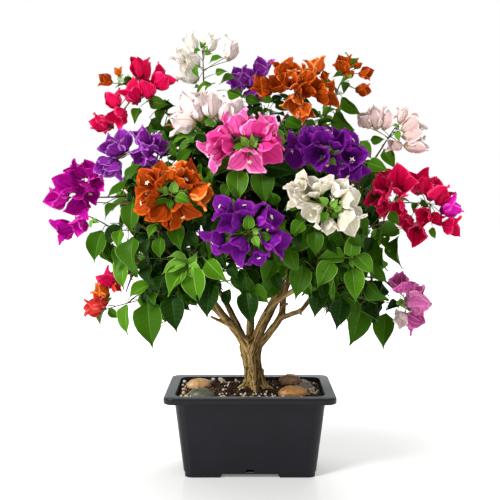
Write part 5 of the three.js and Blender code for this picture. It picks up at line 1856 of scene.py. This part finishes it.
def bloom_shape(name, angles, cup, wide, seed):
    """Three bracts round an axis, each of them a little different."""
    points, faces, zones = [], [], []
    columns = len(BRACT_ACROSS)
    for bract in range(3):
        draw = draws_from(CROWN_SEED + 50 * seed + bract)
        loose = 0.22 * (next(draw) - 0.5)
        scale = mix(0.9, 1.06, next(draw))
        phase = next(draw) * 6
        turn = bract * 2 * math.pi / 3 + 0.25 * (next(draw) - 0.5)
        tilt = np.interp(np.linspace(0, 1, 41), (0, 0.3, 0.7, 1), angles) + loose
        out, rise = THROAT_HALF + summed(np.sin(tilt)) * scale, summed(np.cos(tilt)) * scale
        first = len(points)
        for row, (share, half) in enumerate(zip(BRACT_ROWS, BRACT_HALF)):
            far, high, lean = read_at(share, out, rise, tilt)
            for across in BRACT_ACROSS:
                # the sides turn in and wave, veins and midrib are raised, and the paper is creased
                aside = abs(across)
                inward = scale * half * wide * cup * aside**1.6
                inward += 0.065 * math.sin(15 * share + phase + 2 * across) * across**2 * share
                inward += 0.024 * (-1) ** row * ((aside in (0.4, 0.45)) - (aside == 0.8))
                inward += 0.05 * noise.noise(Vector((3 * across, 7 * share, 9 * seed + bract)))
                inward -= 0.014 * (aside < 0.1)
                radius = far - inward * math.cos(lean)
                side = across * half * wide * scale * (1 - 0.12 * cup * aside)
                x = radius * math.cos(turn) - side * math.sin(turn)
                z = radius * math.sin(turn) + side * math.cos(turn)
                points.append((x, high + inward * math.sin(lean), -z))
        for row, column, face in strip_faces(first, len(BRACT_ROWS), columns, False):
            faces.append(face)
            throat = row < 2 or (column == BRACT_MIDRIB and row < 6)
            # the margin and tip take the lighter tone: painted light through the thin sheet
            rim = row > 6 or (row > 1 and column in (0, columns - 2))
            zones.append(VEIN if throat else EDGE if rim else FINE if column in BRACT_VEINS else BODY)
    return shape_of(name, points, faces, zones)


bloom_shapes = []
for seed, kind in enumerate(FORM_KINDS):
    bloom_shapes.append(bloom_shape(f"bloom_{kind}_{seed}", *OPENNESS[kind], seed))

# %% [markdown]
# ### The small flowers
#
# Inside the bracts stand three slim tubes. In open blooms, and in every third half open one,
# one of them has opened into a little cream star. All others are still buds.

# %% Tubes and a star
TUBE_SIDES, STAR_POINTS = 4, 10
STAR_TOP, BUD_TOP = 0.56, 0.44  # of a bract's length, like all sizes here


def flower_shape(name, opened):
    """The three tubes of a bloom, of which the first may have opened."""
    points, faces, zones = [], [], []
    for bud in range(3):
        turn = 0.5 + bud * 2 * math.pi / 3
        lean = Vector((math.cos(turn), 0, -math.sin(turn))) * 0.16
        first = len(points)
        star = opened and bud == 0
        top, mouth = (STAR_TOP, 0.03) if star else (BUD_TOP, 0.012)
        for rise, radius in ((0.02, 0.022), (0.5 * top, 0.036), (top, mouth)):
            for k in range(TUBE_SIDES):
                angle = -k / TUBE_SIDES * 2 * math.pi
                ring = Vector((math.cos(angle), 0, math.sin(angle))) * radius
                points.append(tuple(Vector((0, rise, 0)) + lean * (rise + 0.15) + ring))
        for _, _, face in strip_faces(first, 3, TUBE_SIDES, True):
            faces.append(face)
            zones.append(VEIN)
        if not star:
            continue
        centre = len(points)
        middle = Vector((0, top - 0.02, 0)) + lean * (top + 0.15)
        points.append(tuple(middle))
        for k in range(STAR_POINTS):
            angle = -k / STAR_POINTS * 2 * math.pi
            radius = 0.115 if k % 2 else 0.05
            point = Vector((math.cos(angle) * radius, 0.035, math.sin(angle) * radius))
            points.append(tuple(middle + point))
            faces.append((centre, centre + 1 + k, centre + 1 + (k + 1) % STAR_POINTS))
            zones.append(BODY)
    return shape_of(name, points, faces, zones)


flower_shapes = [flower_shape("flower_open", True), flower_shape("flower_in_bud", False)]

# %% [markdown]
# ### Bract finish
#
# Bracts are papery: matt, with a faint velvety gleam where the sheet turns away, which the
# sheen gives. Each variety has three tones of one colour and a throat tone. The lighter of a
# bloom's two tones lies on the margin and tip as painted light, for the light that comes through
# the thin sheet, and the side veins take a deeper tone. Some blooms of a head use the lighter two
# and the others the darker two, and the throat and the midrib have a tone of their own, paler in
# the light sorts and deeper in the dark ones. A weak glow in the sheet's own colour is painted
# light as well.

# %% Papery bracts in nine colours
VARIETIES = {
    # light, middle and deep tone, throat; the light tone is painted light on the margins
    "crimson": (0xE6366E, 0xCE084A, 0xAE0636, 0x86042C),
    "magenta": (0xDA4CBA, 0xC60C9E, 0xA60688, 0x7C0668),
    "purple": (0xAE66C4, 0x862694, 0x66127E, 0x4A085E),
    "orange": (0xE68E4C, 0xC6540E, 0x9C3C06, 0x742604),
    "pink": (0xF49ECC, 0xE258A2, 0xCC3482, 0xBC2472),
    "white": (0xF6F1EA, 0xECE5DA, 0xD2C9B8, 0xB4B87C),
    "blush": (0xF7EBE8, 0xEEDDD9, 0xDABDBB, 0xC4AC8C),
    "coral": (0xDC5450, 0xC8342E, 0xB02226, 0x8A1A18),
    "mauve": (0xE496C4, 0xD46CAC, 0xB0468A, 0xD68ABA),
}
PAPER = {"Specular IOR Level": 0.06, "Sheen Weight": 0.015, "Sheen Roughness": 0.4}
USUAL_GLOW = 0.09
GLOW = {"white": 0.02, "blush": 0.02}  # pale sheets would look lit from inside with more


def papery(name, colour, glow):
    """A papery finish that glows a little in its own colour, as light comes through the sheet."""
    sockets = {**PAPER, "Emission Color": linear(colour), "Emission Strength": glow}
    return finish_named(name, colour, 0.6, sockets)[0]


star_cream = finish_named("star_flower_cream", 0xF2E6C6, 0.55, PAPER)[0]
TONE_NAMES = ("light", "middle", "deep", "throat")
for variety, tones in VARIETIES.items():
    glow = GLOW.get(variety, USUAL_GLOW)
    named = zip(TONE_NAMES, tones)
    light, middle, deep, throat = (papery(f"papery_{n}_{variety}", c, glow) for n, c in named)
    clouds = []
    for foot, way, turn, size, form, tone in bloom_places[variety]:
        side = side_of(way)
        clouds.append((foot, way, side * math.cos(turn) + way.cross(side) * math.sin(turn), size, form, tone))
    groups = []
    for form, shape in enumerate(bloom_shapes):
        # body, edge (its lighter tone is painted light), throat and midrib, side veins
        for tone, finishes in enumerate(((middle, light, throat, deep), (deep, middle, throat, throat))):
            picked = [c[:4] for c in clouds if c[4:] == (form, tone)]
            if picked:
                groups.append(placed(f"bracts_{variety}_{form}_{tone}", shape, picked, finishes))
    kinds = [FORM_KINDS[c[4]] for c in clouds]
    opened = [kind == "open" or (kind == "half" and i % 3 == 0) for i, kind in enumerate(kinds)]
    for shape, wanted in zip(flower_shapes, (True, False)):
        picked = [c[:4] for c, is_open in zip(clouds, opened) if is_open == wanted]
        finishes = (star_cream, star_cream, throat, throat)
        groups.append(placed(f"{shape.name}_{variety}", shape, picked, finishes))
    nodes = [f"flowers_{h[0]}_{h[1]}" for h in HEADS if h[0] == variety]
    hand_over(joined_as("bracts_" + variety, groups), "bract_" + variety, nodes)
for shape in [*bloom_shapes, *flower_shapes]:
    bpy.data.objects.remove(shape)

# %% [markdown]
# ## Twigs and stalks
#
# Twigs are thin tubes along the lines that the rule laid. A curve with a round profile does
# that, and Geometry Nodes read the half width from each point, so a twig tapers to its tip.

# %% The tree that skins lines
skinned, start = new_tree("skin_on_lines", Sides="Int", Finish="Material")
line = add(skinned, "GeometryNodeMeshToCurve", {"Mesh": start.outputs["Base"]})
inputs = {"Resolution": start.outputs["Sides"], "Radius": 1.0}
profile = add(skinned, "GeometryNodeCurvePrimitiveCircle", inputs)
inputs = {"Curve": line.outputs["Curve"], "Profile Curve": profile.outputs["Curve"], "Fill Caps": True}
inputs["Scale"] = read_attribute(skinned, "half", "FLOAT")
tubes = add(skinned, "GeometryNodeCurveToMesh", inputs)
end_tree(skinned, tubes.outputs["Mesh"], start.outputs["Finish"])


def skin_lines(name, lines, sides, finish):
    """One piece of all lines of a kind, from their paths and radii."""
    points, edges, widths = [], [], []
    for path, radii in lines:
        edges.extend((len(points) + i, len(points) + i + 1) for i in range(len(path) - 1))
        points.extend(path)
        widths.extend(float(r) * MM for r in radii)
    base_mesh = mesh_named(name, points, [], edges)
    base_mesh.attributes.new("half", "FLOAT", "POINT").data.foreach_set("value", widths)
    piece = made_by(skinned, base_mesh, name, {"Sides": sides, "Finish": finish})
    piece.data.shade_smooth()
    return piece


# %% Woody twigs, green twigs and flower stalks
woody = finish_named("brown_twig", 0x4E3C22, 0.8, {"Specular IOR Level": 0.3})[0]
green = finish_named("green_twig", 0x51652A, 0.6, WAX)[0]
stalk = finish_named("flower_stalk", 0x8A8A4A, 0.6, WAX)[0]
for kind, sides, finish, slot in (("woody", 6, woody, "bark"), ("green", 5, green, "leaf")):
    lines = [(path, radii) for path, radii, what in twig_lines if what == kind]
    hand_over(skin_lines("twigs_" + kind, lines, sides, finish), slot, masses)
hand_over(skin_lines("flower_stalks", stalk_lines, 4, stalk), "leaf")
